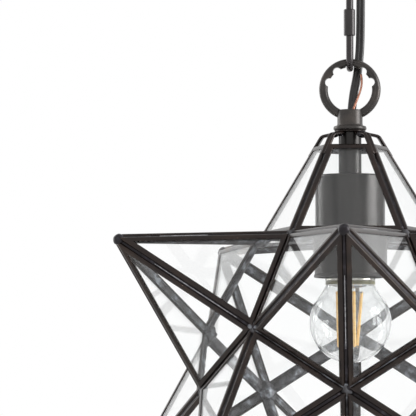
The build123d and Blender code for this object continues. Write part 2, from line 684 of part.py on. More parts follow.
def groove_bar(start, end, outward, half_angle, inset, convex):
    """Solder in the groove between two channels, from start to end.

    outward is the bisector away from the star; the panes leave the edge at
    half_angle on both sides of it, inwards on a ridge and outwards in a valley."""
    along = (end - start).normalized()
    side = along.cross(outward)
    lean = -1 if convex else 1
    near = CAME_THICKNESS / 2
    deep = near - SOLDER_DEPTH
    corners = []
    for hand in (1, -1):
        pane = outward * (lean * cos(half_angle)) + side * (hand * sin(half_angle))
        normal = outward * sin(half_angle) - side * (hand * lean * cos(half_angle))
        sign = -1 if convex else 1
        foot = start + pane * inset
        corners.append([foot + normal * (sign * near), foot + normal * (sign * deep)])
    ring = [corners[0][0], corners[0][1], corners[1][1], corners[1][0]]
    face = make_face(Polyline(*ring, close=True))
    return extrude(face, amount=(end - start).length, dir=along)


def ridge_seams(height):
    """Solder along a point's five ridges, up to that height above its base."""
    seams = []
    apex = Vector(0, 0, POINT_HEIGHT)
    for number in range(SIDES):
        angle = radians(-90 + 36 + 72 * number)
        node = Vector(cos(angle), sin(angle), 0) * BASE_RADIUS
        along = (apex - node).normalized()
        outward = Vector(cos(angle), sin(angle), 0) * along.Z + Vector(0, 0, BASE_RADIUS) * (
            1 / (apex - node).length
        )
        length = height / along.Z
        start = node + along * SOLDER_END
        end = node + along * (length - SOLDER_END)
        seams.append(groove_bar(start, end, outward, RIDGE_HALF, RIDGE_INSET, True))
    return seams


def tip_cap():
    """The bead of solder that closes a point's tip, over the channels' corners."""
    drop = RIDGE_INSET * PANE_SIDE / (EDGE / 2)        # ideal tip to a channel's corner
    lean = BASE_INRADIUS / PANE_HEIGHT
    rise = POINT_HEIGHT / PANE_HEIGHT
    near = CAME_THICKNESS / 2
    mid = (drop * lean, POINT_HEIGHT - drop * rise)
    outer = (mid[0] + near * rise, mid[1] + near * lean)
    bottom = mid[1] - mid[0] * lean / rise
    rise_left = POINT_HEIGHT - outer[1]
    round_radius = (outer[0] ** 2 + rise_left ** 2) / (2 * rise_left)
    half = asin(min(1.0, outer[0] / round_radius)) / 2
    middle = (round_radius * sin(half), 0, POINT_HEIGHT - round_radius * (1 - cos(half)))
    profile = make_face(
        Polyline((0, 0, POINT_HEIGHT), (0, 0, bottom), (outer[0], 0, outer[1]))
        + ThreePointArc((outer[0], 0, outer[1]), middle, (0, 0, POINT_HEIGHT))
    )
    return revolve(profile, Axis.Z)


def valley_seams(planes):
    """Solder between neighbouring points, all but those of the hinged one."""
    seams = []
    names = [name for name in planes if name != "bottom"]
    for index, name in enumerate(names):
        for other in names[index + 1:]:
            one, two = planes[name].z_dir, planes[other].z_dir
            if one.dot(two) < 0.4:
                continue
            outward = (one + two).normalized()
            along = one.cross(two).normalized()
            middle = STAR + outward * sqrt(CORE_RADIUS ** 2 - (EDGE / 2) ** 2)
            half = EDGE / 2 - SOLDER_END
            start = middle - along * half
            end = middle + along * half
            seams.append(groove_bar(start, end, outward, VALLEY_HALF, VALLEY_INSET, False))
    return seams


# ---------------------------------------------------------------- door hinge
HINGE_OUT = (BARREL_RADIUS + CAME_THICKNESS / 2) / sin(VALLEY_HALF)
HINGE_FOOT = HINGE_OUT * cos(VALLEY_HALF)             # pin's foot on the pane, from the edge


def hinge_frame():
    """The back base edge of the bottom point: a pin centre and its directions."""
    outward = Vector(0, BASE_INRADIUS, -BASE_HEIGHT).normalized()
    edge = STAR + Vector(0, BASE_INRADIUS, -BASE_HEIGHT)
    return edge, outward, edge + outward * HINGE_OUT


def barrel(low, high):
    """A knuckle round the pin, from low to high along X."""
    _, _, pin = hinge_frame()
    tube = Cylinder(BARREL_RADIUS, high - low)
    tube -= Cylinder(PIN_RADIUS + PIN_CLEARANCE, 2 * HINGE_LENGTH)
    return Pos(pin.X + (low + high) / 2, pin.Y, pin.Z) * Rot(0, 90, 0) * tube


def hinge_leaf(hand):
    """One leaf on its channel: hand 1 is the fixed side, -1 the bottom point."""
    edge, outward, pin = hinge_frame()
    side = Vector(1, 0, 0).cross(outward)
    pane = outward * cos(VALLEY_HALF) + side * (hand * sin(VALLEY_HALF))
    normal = outward * sin(VALLEY_HALF) - side * (hand * cos(VALLEY_HALF))
    surface = edge + normal * (CAME_THICKNESS / 2)
    near = HINGE_FOOT
    far = HINGE_FOOT + LEAF_REACH
    corners = [
        surface + pane * near,
        surface + pane * far,
        surface + pane * far + normal * LEAF_SHEET,
        surface + pane * near + normal * LEAF_SHEET,
    ]
    leaf = extrude(make_face(Polyline(*corners, close=True)), HINGE_LENGTH / 2, both=True)
    third = HINGE_LENGTH / 6
    end = HINGE_LENGTH / 2
    spans = {1: [(-third, third)], -1: [(-end, -third), (third, end)]}
    for low, high in spans[-hand]:
        room = Cylinder(BARREL_RADIUS + BARREL_GAP, high - low + 2 * BARREL_GAP)
        leaf -= Pos((low + high) / 2, pin.Y, pin.Z) * Rot(0, 90, 0) * room
    hole = Cylinder(PIN_RADIUS + PIN_CLEARANCE, 2 * HINGE_LENGTH)
    leaf -= Pos(0, pin.Y, pin.Z) * Rot(0, 90, 0) * hole
    for low, high in spans[hand]:
        low_end = low + (BARREL_GAP / 2 if abs(low) < end else 0)
        high_end = high - (BARREL_GAP / 2 if abs(high) < end else 0)
        leaf += barrel(low_end, high_end)
    return leaf


def hinge_pin():
    """The pin, headed over a little past both ends of the barrels."""
    _, _, pin = hinge_frame()
    body = Cylinder(PIN_RADIUS, HINGE_LENGTH + 2 * PIN_PROUD)
    return Pos(pin.X, pin.Y, pin.Z) * Rot(0, 90, 0) * body


# ---------------------------------------------------------------- cord and wire
def soft_line(points, radius):
    """A tube on straight runs joined by the largest tangent arcs they allow."""
    route = [Vector(*point) for point in points]
    bends = []
    for before, here, after in zip(route, route[1:], route[2:]):
        turn = (here - before).get_angle(after - here)
        run = min((here - before).length, (after - here).length)
        bends.append(CORD_BEND_SHARE * run / tan(radians(turn) / 2))
    path = FilletPolyline(*route, radius=bends)
    section = Plane(origin=path @ 0, z_dir=path % 0) * Circle(radius)
    tube = sweep(section, path)
    print("bends", [round(bend, 1) for bend in bends], "length", round(path.length, 1),
          "volume share", round(tube.volume / (pi * radius ** 2 * path.length), 4))
    return tube


def power_cord():
    """The lead: up the stem, behind the ring, along the chain, into the canopy."""
    low = STAR_RING_Z
    high = CANOPY_RING_Z
    return soft_line(
        [
            (0, CORD_BORE_Y, low - CORD_TAIL),
            (CORD_NECK_X, CORD_NECK_Y, low - CORD_NECK),
            (CORD_SWING_X, CORD_SWING_Y, low + CORD_SWING),
            (CORD_BESIDE_X, CORD_BESIDE_Y, low + CORD_BESIDE),
            (CORD_BESIDE_X, CORD_BESIDE_Y, high - CORD_BESIDE),
            (CORD_SWING_X, CORD_SWING_Y, high - CORD_SWING),
            (CORD_NECK_X, CORD_NECK_Y, high + CORD_NECK),
            (0, CORD_BORE_Y, high + CORD_HEAD),
        ],
        CORD_RADIUS,
    )


def ground_wire():
    """The bare copper earth lead that bows out beside the cord in the ring."""
    route = [Vector(*spot) * LOOP_RADIUS for spot in GROUND_ROUTE]
    return Pos(0, 0, STAR_RING_Z) * soft_line(route, GROUND_WIRE_RADIUS)


# ---------------------------------------------------------------- the assembly
def star_nodes():
    """Channels and glass of every point, by node name, and the solder."""
    planes = point_planes()
    panes = pane_planes()
    door_inset = VALLEY_INSET + DOOR_GAP
    makes = {"top": (VALLEY_INSET, TOP_CUT), "bottom": (door_inset, None)}
    nodes = {}
    shapes = {}
    for name, plane in planes.items():
        base_inset, cut = makes.get(name, (VALLEY_INSET, None))
        key = (base_inset, cut)
        if key not in shapes:
            shapes[key] = (pane_came(base_inset, cut), pane_glass(base_inset, cut))
        came, glass = shapes[key]
        label = name.replace("_", "_point_") if "_" in name else f"{name}_point"
        spots = [plane.location * pane.location for pane in panes]
        nodes[f"{label}_cames"] = [spot * came for spot in spots]
        nodes[f"{label}_glass"] = [spot * glass for spot in spots]
    seams = ridge_seams(POINT_HEIGHT)
    cap = tip_cap()
    top_seams = ridge_seams(TOP_OPENING_HEIGHT - CROWN_TAIL)
    solder = [planes["top"].location * seam for seam in top_seams] + valley_seams(planes)
    for name, plane in planes.items():
        if name not in ("top", "bottom"):
            solder += [plane.location * piece for piece in seams + [cap]]
    nodes["star_solder"] = solder
    nodes["bottom_point_solder"] = [planes["bottom"].location * piece for piece in seams + [cap]]
    return nodes


def nipple_ends():
    """Where the two threaded tubes start and stop, top ones first."""
    reach = NIPPLE_ENGAGEMENT - NIPPLE_SHORT
    canopy = (CANOPY_FACE - reach, -CROSSBAR_DROP + NUT_THICKNESS + NIPPLE_PROUD)
    star = (HOLDER_TOP - reach, FLANGE_Z + reach)
    return canopy, star


def all_nodes():
    """Every node of the pendant by name."""
    canopy_tube, star_tube = nipple_ends()
    nodes = {
        "ceiling_canopy": ceiling_canopy(),
        "mounting_crossbar": mounting_crossbar(),
        "ground_screw": ground_screw(),
        "canopy_nipple": threaded_tube(*canopy_tube),
        "crossbar_nuts": [
            hex_nut(-CROSSBAR_DROP, NUT_THICKNESS),
            hex_nut(-CROSSBAR_DROP - CROSSBAR_SHEET - NUT_THICKNESS, NUT_THICKNESS),
        ],
        "canopy_loop": Pos(0, 0, CANOPY_FACE) * Rot(180, 0, 0) * cast_loop(),
        "upper_chain_link": chain_link(UPPER_LINK_TOP, 0),
        "lower_chain_link": chain_link(LOWER_LINK_TOP, 90),
        "quick_link": quick_link(),
        "quick_link_sleeve": quick_sleeve(),
        "fixture_loop": Pos(0, 0, FLANGE_Z) * cast_loop(),
        "hanger_crown": hanger_crown(),
        "stem_tube": stem_tube(),
        "stem_nipple": threaded_tube(*star_tube),
        "socket_cup": socket_cup(),
        "cup_nut": hex_nut(CUP_TOP - CUP_SHEET - NUT_THICKNESS, NUT_THICKNESS),
        "lampholder": lampholder(),
        "screw_shell": screw_shell(),
        "centre_contact": centre_contact(),
        "bulb_cap": bulb_cap(),
        "bulb_insulator": bulb_insulator(),
        "bulb_glass": envelope(0) - envelope(BULB_GLASS),
        "bulb_mount": bulb_mount(),
        "bulb_filaments": bulb_filaments(),
        "filament_supports": filament_supports(),
        "door_hinge_leaf": hinge_leaf(-1),
        "frame_hinge_leaf": hinge_leaf(1),
        "door_hinge_pin": hinge_pin(),
        "power_cord": power_cord(),
        "ground_wire": ground_wire(),
    }
    nodes.update(star_nodes())
    return nodes


os.makedirs("parts", exist_ok=True)
for node, shape in all_nodes().items():
    solids = shape if isinstance(shape, list) else shape.solids()
    flat = [solid for item in solids for solid in item.solids()]
    export_step(Compound(children=flat) if len(flat) > 1 else flat[0], f"parts/{node}.step")
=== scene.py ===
from itertools import combinations
from math import asin, atan2, cos, hypot, pi, radians, sin, sqrt, tan

import bmesh
import bpy
import numpy as np
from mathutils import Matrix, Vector


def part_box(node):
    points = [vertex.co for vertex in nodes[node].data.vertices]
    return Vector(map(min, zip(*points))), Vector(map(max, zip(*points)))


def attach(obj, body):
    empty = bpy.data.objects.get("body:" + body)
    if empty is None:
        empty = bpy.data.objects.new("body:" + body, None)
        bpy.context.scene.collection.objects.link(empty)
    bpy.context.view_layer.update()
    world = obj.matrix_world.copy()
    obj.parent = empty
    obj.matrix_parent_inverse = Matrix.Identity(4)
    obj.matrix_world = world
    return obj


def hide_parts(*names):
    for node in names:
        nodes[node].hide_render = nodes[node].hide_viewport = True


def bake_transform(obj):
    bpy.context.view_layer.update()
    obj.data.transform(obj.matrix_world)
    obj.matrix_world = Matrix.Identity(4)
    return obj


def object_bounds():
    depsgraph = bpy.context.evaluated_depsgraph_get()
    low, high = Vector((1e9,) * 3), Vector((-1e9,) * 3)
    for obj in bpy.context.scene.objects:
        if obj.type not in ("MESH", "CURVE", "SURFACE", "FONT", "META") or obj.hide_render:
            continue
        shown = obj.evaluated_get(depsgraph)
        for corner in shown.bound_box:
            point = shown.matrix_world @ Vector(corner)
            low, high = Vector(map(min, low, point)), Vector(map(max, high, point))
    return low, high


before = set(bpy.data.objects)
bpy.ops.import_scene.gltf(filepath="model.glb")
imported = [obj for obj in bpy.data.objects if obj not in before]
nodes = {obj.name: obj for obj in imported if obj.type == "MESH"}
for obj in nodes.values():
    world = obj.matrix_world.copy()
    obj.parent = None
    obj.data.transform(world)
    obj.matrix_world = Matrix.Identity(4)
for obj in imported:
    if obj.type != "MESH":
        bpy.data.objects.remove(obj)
cad_box = [list(corner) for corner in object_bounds()]
mm = 0.001


# ---------------------------------------------------------------- ceiling canopy
# A dish spun from sheet steel and sprayed with a dark bronze paint, satin, with a
# slight orange peel. It hides the crossbar and hangs on the threaded tube.
def linear(code):
    """The linear colour, with alpha, of an sRGB hex code."""
    srgb = np.array([int(code[at:at + 2], 16) for at in (1, 3, 5)]) / 255
    straight = srgb / 12.92
    curved = ((srgb + 0.055) / 1.055) ** 2.4
    return (*np.where(srgb <= 0.04045, straight, curved).tolist(), 1.0)


def add(tree, kind, inputs, stops=(), **settings):
    """Adds a node. inputs holds, by socket, a value or another node's output to link,
    and stops are a colour ramp's positions and hex codes."""
    node = tree.nodes.new(kind)
    for name, value in settings.items():
        setattr(node, name, value)
    for name, value in inputs.items():
        if isinstance(value, bpy.types.NodeSocket):
            tree.links.new(value, node.inputs[name])
        else:
            node.inputs[name].default_value = value
    if stops:
        ramp = node.color_ramp.elements
        while len(ramp) < len(stops):
            ramp.new(0.5)
        for element, (position, code) in zip(ramp, stops):
            element.position = position
            element.color = linear(code)
    return node


def empty_tree(owner):
    """The node tree of a material or of the world, emptied."""
    owner.use_nodes = True
    owner.node_tree.nodes.clear()
    return owner.node_tree


def grain(tree, size, detail=4.0, stretch=(1, 1, 1)):
    """Noise from 0 to 1 on object coordinates, with lumps about size metres wide."""
    spot = add(tree, "ShaderNodeTexCoord", {}).outputs["Object"]
    drawn = add(tree, "ShaderNodeMapping", {"Vector": spot, "Scale": stretch}).outputs["Vector"]
    noise = add(tree, "ShaderNodeTexNoise", {"Vector": drawn, "Scale": 0.5 / size, "Detail": detail})
    return noise.outputs["Fac"]


def finish(name, sockets, roughness, colours, patches, relief=None, pits=None, dulled=False):
    """A finish whose colour and roughness follow patches of noise, given by size, detail
    and stretch. relief is a bump's depth and strength, on finer pits where they are
    given, and dulled makes the roughness follow the pits. sockets are plain values."""
    material = bpy.data.materials.new(name)
    tree = empty_tree(material)
    patch = grain(tree, *patches)
    pit = grain(tree, *pits) if pits else patch
    ramp = add(tree, "ShaderNodeValToRGB", {"Fac": patch}, stops=colours)
    inputs = {"Base Color": ramp.outputs["Color"]}
    if roughness:
        limits = {"Value": pit if dulled else patch, "To Min": roughness[0], "To Max": roughness[1]}
        inputs["Roughness"] = add(tree, "ShaderNodeMapRange", limits).outputs["Result"]
    if relief:
        bump = {"Height": pit, "Distance": relief[0], "Strength": relief[1]}
        inputs["Normal"] = add(tree, "ShaderNodeBump", bump).outputs["Normal"]
    shader = add(tree, "ShaderNodeBsdfPrincipled", {**inputs, **sockets})
    add(tree, "ShaderNodeOutputMaterial", {"Surface": shader.outputs[0]})
    return material


# Sprayed bronze paint: nearly black brown, broken up in soft patches of 9 mm, with
# an orange peel of 0.8 mm that only softens the highlights.
bronze_paint = finish(
    "dark_bronze_spray_paint", {"Metallic": 0.35}, (0.34, 0.46),
    [(0.3, "#332d2a"), (0.55, "#3c3633"), (0.75, "#453e3a")], (9 * mm,),
    relief=(0.03 * mm, 0.5), pits=(0.8 * mm, 2.0),
)


def dress(material, *names):
    """Gives CAD nodes their finish."""
    for name in names:
        slots = nodes[name].data.materials
        slots.clear()
        slots.append(material)


dress(bronze_paint, "ceiling_canopy")

# ---------------------------------------------------------------- crossbar and nuts
# The strap, its nuts and the two threaded tubes are mild steel with bright zinc
# plating; the earthing screw is dyed green. They are bought parts, bolted together.

# Rolled steel with bright zinc plating: a pale, cold grey that mirrors fairly clearly.
# Its rolling lines are finer than can show, and are drawn 0.6 mm apart, long in X.
zinc_plate = finish(
    "bright_zinc_plating", {"Metallic": 1.0}, (0.25, 0.42), [(0.3, "#9a9b97"), (0.7, "#b9bab6")],
    (0.6 * mm, 3.0, (0.06, 1, 1)), relief=(0.02 * mm, 0.4),
)
dress(zinc_plate, "mounting_crossbar", "crossbar_nuts", "canopy_nipple", "stem_nipple", "cup_nut")

# Zinc plating dyed green: a metal's shine under a dye that took in specks of 1.2 mm.
green_zinc = finish(
    "green_dyed_zinc", {"Metallic": 0.8}, (0.3, 0.45), [(0.3, "#1c5a33"), (0.7, "#2c7a46")], (1.2 * mm,),
)
dress(green_zinc, "ground_screw")

# ---------------------------------------------------------------- cast loops
# Each loop is one zinc casting: a ring with five notches round its far side, a neck
# and a flange. The bronze finish is rubbed through to a redder brown on the edges.
ring_radius = 14.8 * mm        # centre line of the bar
bar_radius = 2.45 * mm
crease_depth = 0.45 * mm       # moulding line round both faces
notch_pitch = radians(35.5)
notch_floor = 14.45 * mm       # from the ring's centre
notch_radius = 2.35 * mm
notch_flare = 0.3 * mm
loop_height = 23.1 * mm        # flange face to the ring's centre
neck_radius = 7.1 * mm
flange_radius = 9.4 * mm
flange_height = 2.6 * mm
neck_top = 11.6 * mm
cord_bore = 4.6 * mm

# Zinc die casting, dipped in bronze finish and rubbed: dark with brown clouds of 6 mm
# on a satin skin. The skin's grain is drawn at 0.5 mm, coarser than real, to show.
cast_bronze = finish(
    "rubbed_bronze_on_cast_zinc", {"Metallic": 0.4}, (0.25, 0.38),
    [(0.3, "#2b2827"), (0.52, "#393533"), (0.72, "#4e4742")], (6 * mm, 6.0),
    relief=(0.03 * mm, 0.5), pits=(0.5 * mm, 3.0),
)


def grid_faces(rows, columns, wrap_rows, wrap_columns, first=0):
    """Quads of a grid of rows by columns points, wrapped round where asked."""
    i = np.arange(rows if wrap_rows else rows - 1)[:, None]
    j = np.arange(columns if wrap_columns else columns - 1)[None, :]
    below, right = (i + 1) % rows, (j + 1) % columns
    corners = [i * columns + j, i * columns + right, below * columns + right, below * columns + j]
    return np.stack(np.broadcast_arrays(*corners), -1).reshape(-1, 4) + first


def make_piece(name, points, faces, material, body, slot, replaced=(), sharp=None):
    """A smooth-shaded mesh with its faces turned outwards, riding on a body, or on
    none where no body is given. sharp is a test on two arrays of vertex numbers
    that picks the hard edges."""
    mesh = bpy.data.meshes.new(name)
    mesh.from_pydata(np.asarray(points).reshape(-1, 3).tolist(), [], [list(f) for f in faces])
    shell = bmesh.new()
    shell.from_mesh(mesh)
    bmesh.ops.recalc_face_normals(shell, faces=shell.faces)
    shell.to_mesh(mesh)
    shell.free()
    mesh.shade_smooth()
    if sharp is not None:
        ends = np.zeros(2 * len(mesh.edges), int)
        mesh.edges.foreach_get("vertices", ends)
        hard = mesh.attributes.new("sharp_edge", "BOOLEAN", "EDGE")
        hard.data.foreach_set("value", sharp(ends[0::2], ends[1::2]))
    mesh.materials.append(material)
    piece = bpy.data.objects.new(name, mesh)
    bpy.context.scene.collection.objects.link(piece)
    if body:
        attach(piece, body)
    if replaced:
        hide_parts(*replaced)
    return piece


def turned(profile, around=96):
    """A closed outline of (radius, height) rows turned once about Z: grid points
    at radius * (cos, sin) of each angle."""
    outline = np.asarray(profile, float)
    angle = np.linspace(0, 2 * pi, around, endpoint=False)[:, None]
    radius, height = outline[:, 0], outline[:, 1]
    flat = np.broadcast_to(height, (around, len(outline)))
    return np.stack([radius * np.cos(angle), radius * np.sin(angle), flat], -1)


def rounded(corners, radii, steps=5):
    """An outline whose corners are cut by quadratic arcs that start a radius away."""
    corners = np.asarray(corners, float)
    share = np.linspace(0, 1, steps)[:, None]
    out = []
    for before, here, after, reach in zip(np.roll(corners, 1, 0), corners, np.roll(corners, -1, 0), radii):
        if reach == 0:
            out.append(here[None])
            continue
        first = here + (before - here) * reach / np.linalg.norm(before - here)
        last = here + (after - here) * reach / np.linalg.norm(after - here)
        out.append((1 - share) ** 2 * first + 2 * share * (1 - share) * here + share ** 2 * last)
    return np.concatenate(out)


def notched_ring(along=600, across=48):
    """A ring of round bar about the Y axis, with its inner side pushed out to the
    notches' far walls: the larger of the bar's own radius and the notch's, softly."""
    turn = np.linspace(0, 2 * pi, along, endpoint=False)[:, None]
    spin = np.linspace(0, 2 * pi, across, endpoint=False)[None, :]
    crease = crease_depth * np.exp(-(np.cos(spin) / 0.15) ** 2)
    reach = ring_radius + bar_radius * np.cos(spin) + 0 * turn
    width = (bar_radius - crease) * np.sin(spin) + 0 * turn
    middle = notch_floor - notch_radius
    wall = notch_radius + notch_flare * np.clip(np.abs(width) / bar_radius - 0.3, 0, 1)
    for number in range(5):
        swing = turn - (pi / 2 + notch_pitch * (number - 2))
        swing = (swing + pi) % (2 * pi) - pi
        room = wall ** 2 - (middle * np.sin(swing)) ** 2
        far = middle * np.cos(swing) + np.sqrt(np.maximum(room, 0))
        far = np.where((room > 0) & (np.abs(swing) < 1), far, 0)
        reach = (reach + far + np.sqrt((reach - far) ** 2 + (0.18 * mm) ** 2)) / 2
    return np.stack([reach * np.cos(turn), width, reach * np.sin(turn)], -1)


neck_outline = rounded(
    [
        (cord_bore, 0), (flange_radius - 0.6 * mm, 0), (flange_radius, 0.35 * flange_height),
        (flange_radius - 0.4 * mm, 0.9 * flange_height), (neck_radius + 0.5 * mm, flange_height),
        (neck_radius, flange_height + 0.8 * mm), (neck_radius, neck_top), (cord_bore, neck_top),
    ],
    [0, 0.3 * mm, 0.6 * mm, 0.4 * mm, 0.2 * mm, 0.5 * mm, 0.9 * mm, 0.5 * mm],
)
ring_points = notched_ring()
neck_points = turned(neck_outline)
ring_count = ring_points.shape[0] * ring_points.shape[1]
ring_faces = grid_faces(*ring_points.shape[:2], True, True)
neck_faces = grid_faces(*neck_points.shape[:2], True, True, ring_count)
loop_faces = np.concatenate([ring_faces, neck_faces])
lifted_ring = ring_points + np.array([0, 0, loop_height])
upright = np.concatenate([lifted_ring.reshape(-1, 3), neck_points.reshape(-1, 3)])

flange_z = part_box("fixture_loop")[0].z
canopy_face_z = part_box("canopy_loop")[1].z
make_piece("fixture_loop_casting", upright + np.array([0, 0, flange_z]), loop_faces, cast_bronze,
           "star", "painted_steel", ["fixture_loop"])
upside_down = upright * np.array([1, -1, -1]) + np.array([0, 0, canopy_face_z])
make_piece("canopy_loop_casting", upside_down, loop_faces, cast_bronze,
           "ceiling_part", "painted_steel", ["canopy_loop"])

# ---------------------------------------------------------------- chain and quick link
# Two welded oval links and the opening link of round steel wire, dipped in the same
# bronze finish, rubbed where they bear. The opening link's round nut closes its gap.

# Drawn steel wire with a dipped bronze finish: smooth and dark, with paler, rubbed
# places of 4 mm that are drawn out along Z.
link_steel = finish(
    "dipped_bronze_steel_wire", {"Metallic": 0.4}, (0.2, 0.3),
    [(0.3, "#2b2828"), (0.55, "#373334"), (0.78, "#4c4546")], (4 * mm, 5.0, (1, 1, 0.4)),
    relief=(0.03 * mm, 0.3),
)
dress(link_steel, "upper_chain_link", "lower_chain_link", "quick_link", "quick_link_sleeve")

# ---------------------------------------------------------------- stem and cup
# The stem is a plain steel tube round the threaded one, and the cup is spun from
# sheet, its mouth rolled outwards. The tube's nut clamps both under the flange.
stem_radius = 6.4 * mm
stem_bore = 5.1 * mm
cup_radius = 19.5 * mm
cup_sheet = 0.9 * mm
cup_hole = 5 * mm
mouth_radius = 19.95 * mm       # the mouth's rolled edge
mouth_height = 1.4 * mm

# Sprayed bronze paint on spun steel: an even, dark satin that only drifts a little,
# over 14 mm, because spinning leaves the sheet smooth.
satin_paint = finish(
    "satin_bronze_spray_on_spun_steel", {"Metallic": 0.4}, (0.27, 0.31),
    [(0.3, "#1c1816"), (0.7, "#231f1d")], (14 * mm,),
)

stem_low, stem_top = (corner.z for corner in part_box("stem_tube"))
stem_grid = turned(rounded(
    [(stem_bore, stem_top), (stem_radius, stem_top), (stem_radius, stem_low), (stem_bore, stem_low)],
    [0, 0.3 * mm, 0.3 * mm, 0],
))
make_piece("stem_sleeve", stem_grid, grid_faces(*stem_grid.shape[:2], True, True), satin_paint,
           "star", "painted_steel", ["stem_tube"])

cup_mouth, cup_top = (corner.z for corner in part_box("socket_cup"))
cup_roof = cup_top - cup_sheet
cup_wall = cup_radius - cup_sheet
cup_grid = turned(rounded(
    [
        (cup_hole, cup_top), (cup_radius, cup_top), (cup_radius, cup_mouth + mouth_height + 0.5 * mm),
        (mouth_radius, cup_mouth + mouth_height), (mouth_radius, cup_mouth), (cup_wall, cup_mouth),
        (cup_wall, cup_roof), (cup_hole, cup_roof),
    ],
    [0, 1.6 * mm, 0.3 * mm, 0.3 * mm, 0.6 * mm, 0.2 * mm, 0.8 * mm, 0],
), 128)
make_piece("spun_cup", cup_grid, grid_faces(*cup_grid.shape[:2], True, True), satin_paint,
           "star", "painted_steel", ["socket_cup"])

# ---------------------------------------------------------------- lampholder
# A moulded black body inside the cup. It holds a screw shell of rolled brass and, at
# the bottom of its well, a brass tongue.

# Moulded phenolic resin: a black of low gloss, barely mottled over 2 mm by its filler.
moulded_black = finish(
    "moulded_black_phenolic", {"IOR": 1.5}, (0.3, 0.42), [(0.3, "#161515"), (0.7, "#201f1f")], (2 * mm,),
)
dress(moulded_black, "lampholder", "bulb_insulator")

# Rolled brass sheet: yellow and bright, with tarnish in patches of 5 mm.
plain_brass = finish(
    "rolled_brass_sheet", {"Metallic": 1.0}, (0.22, 0.4), [(0.3, "#a8853f"), (0.7, "#cdaa5e")], (5 * mm,),
)
dress(plain_brass, "screw_shell", "centre_contact")

# ---------------------------------------------------------------- bulb
# A clear blown globe of 45 mm on a plated screw cap. Inside, a glass stem carries
# four straight rods with a yellow phosphor coating, each on two bare wires.
glass_low, glass_top = (corner.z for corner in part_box("bulb_glass"))
globe_radius = 22.55 * mm
globe_neck = 13.5 * mm
globe_wall = 0.8 * mm
globe_shoulder = radians(124)   # where the round part ends, from the low pole
neck_lean = np.array([-0.3, 0.95])


def blown_profile(count=72):
    """Radius and height from the low pole to the neck: a circle of the globe's radius
    up to its shoulder, then a cubic Bezier curve that leaves the circle along its
    tangent and comes to the neck leaning inwards."""
    round_part = np.linspace(0, globe_shoulder, count)
    circle = np.stack([globe_radius * np.sin(round_part),
                       glass_low + globe_radius * (1 - np.cos(round_part))], -1)
    start, end = circle[-1], np.array([globe_neck, glass_top])
    reach = np.linalg.norm(end - start)
    hold_start = start + np.array([cos(globe_shoulder), sin(globe_shoulder)]) * reach * 0.42
    hold_end = end - neck_lean * reach * 0.34
    share = np.linspace(0, 1, count // 2)[1:, None]
    ramp = ((1 - share) ** 3 * start + 3 * share * (1 - share) ** 2 * hold_start
            + 3 * share ** 2 * (1 - share) * hold_end + share ** 3 * end)
    return np.concatenate([circle, ramp])


def capped(points, low, high):
    """Points and faces of a turned grid whose first and last columns are closed by
    fans to two poles on the axis, at the heights low and high."""
    around, count = points.shape[:2]
    faces = grid_faces(around, count, True, False).tolist()
    for pole, column in ((around * count, 0), (around * count + 1, count - 1)):
        rim = np.arange(around) * count + column
        faces += np.stack([np.full(around, pole), rim, np.roll(rim, -1)], -1).tolist()
    return np.concatenate([points.reshape(-1, 3), [[0, 0, low], [0, 0, high]]]), faces


def inset(profile, depth):
    """The profile moved inwards along its normal: its own step, turned a quarter."""
    step = np.gradient(profile, axis=0)
    normal = np.stack([step[:, 1], -step[:, 0]], -1)
    normal /= np.linalg.norm(normal, axis=1, keepdims=True)
    return profile - normal * depth


def clear_glass(name, streaks, tint, ior, shadow, veil=None):
    """A clear glass. It refracts what is seen through it, and is a plain filter of the
    shadow colour to shadow rays, so that light falls through. veil is the colour and
    share of a pale film that scatters light."""
    material = bpy.data.materials.new(name)
    tree = empty_tree(material)
    faint = [(0.3, tint), (0.7, "#ffffff")]
    colour = add(tree, "ShaderNodeValToRGB", {"Fac": grain(tree, streaks)}, stops=faint)
    sight = add(tree, "ShaderNodeBsdfPrincipled", {
        "Base Color": colour.outputs["Color"], "Roughness": 0.0, "IOR": ior, "Transmission Weight": 1.0,
    })
    if veil:
        film = add(tree, "ShaderNodeBsdfDiffuse", {"Color": linear(veil[0])})
        sight = add(tree, "ShaderNodeMixShader", {0: veil[1], 1: sight.outputs[0], 2: film.outputs[0]})
    through = add(tree, "ShaderNodeBsdfTransparent", {"Color": linear(shadow)})
    shaded = add(tree, "ShaderNodeLightPath", {}).outputs["Is Shadow Ray"]
    mixed = add(tree, "ShaderNodeMixShader", {0: shaded, 1: sight.outputs[0], 2: through.outputs[0]})
    add(tree, "ShaderNodeOutputMaterial", {"Surface": mixed.outputs[0]})
    return material


# Blown soda glass: clear, with a faint bluish film that keeps its outline in sight.
blown_glass = clear_glass(
    "clear_blown_soda_glass", 30 * mm, "#fdfefe", 1.45, "#f4f6f6", veil=("#f4f8ff", 0.05),
)
outside = blown_profile()
inside = inset(outside, globe_wall)
inside[:, 0] = np.maximum(inside[:, 0], 0)
globe_grid = turned(np.concatenate([outside[1:], inside[:0:-1]]), 128)
make_piece("bulb_globe", *capped(globe_grid, glass_low, glass_low + globe_wall), blown_glass,
           "bulb", "bulb_glass", ["bulb_glass"])
dress(blown_glass, "bulb_mount")

# Phosphor powder in silicone on the rods: matt and warm yellow, with a faint glow that
# stands for scattered light. Its grains are drawn 1.5 mm wide, coarser than they are.
phosphor = finish(
    "yellow_phosphor_in_silicone",
    {"Roughness": 0.45, "Emission Color": linear("#f2b04a"), "Emission Strength": 0.3},
    None, [(0.3, "#f2bc58"), (0.7, "#fbdc94")], (1.5 * mm,),
)


def closed_bars(grids):
    """Points and faces of many bars, each closed by a fan over its end rings."""
    spots, faces, first = [], [], 0
    for grid in grids:
        count, ring = grid.shape[:2]
        faces += grid_faces(count, ring, False, True, first).tolist()
        last = first + (count - 1) * ring
        faces += [list(range(first, first + ring)), list(range(last, last + ring))]
        spots.append(grid.reshape(-1, 3))
        first += count * ring
    return np.concatenate(spots), faces


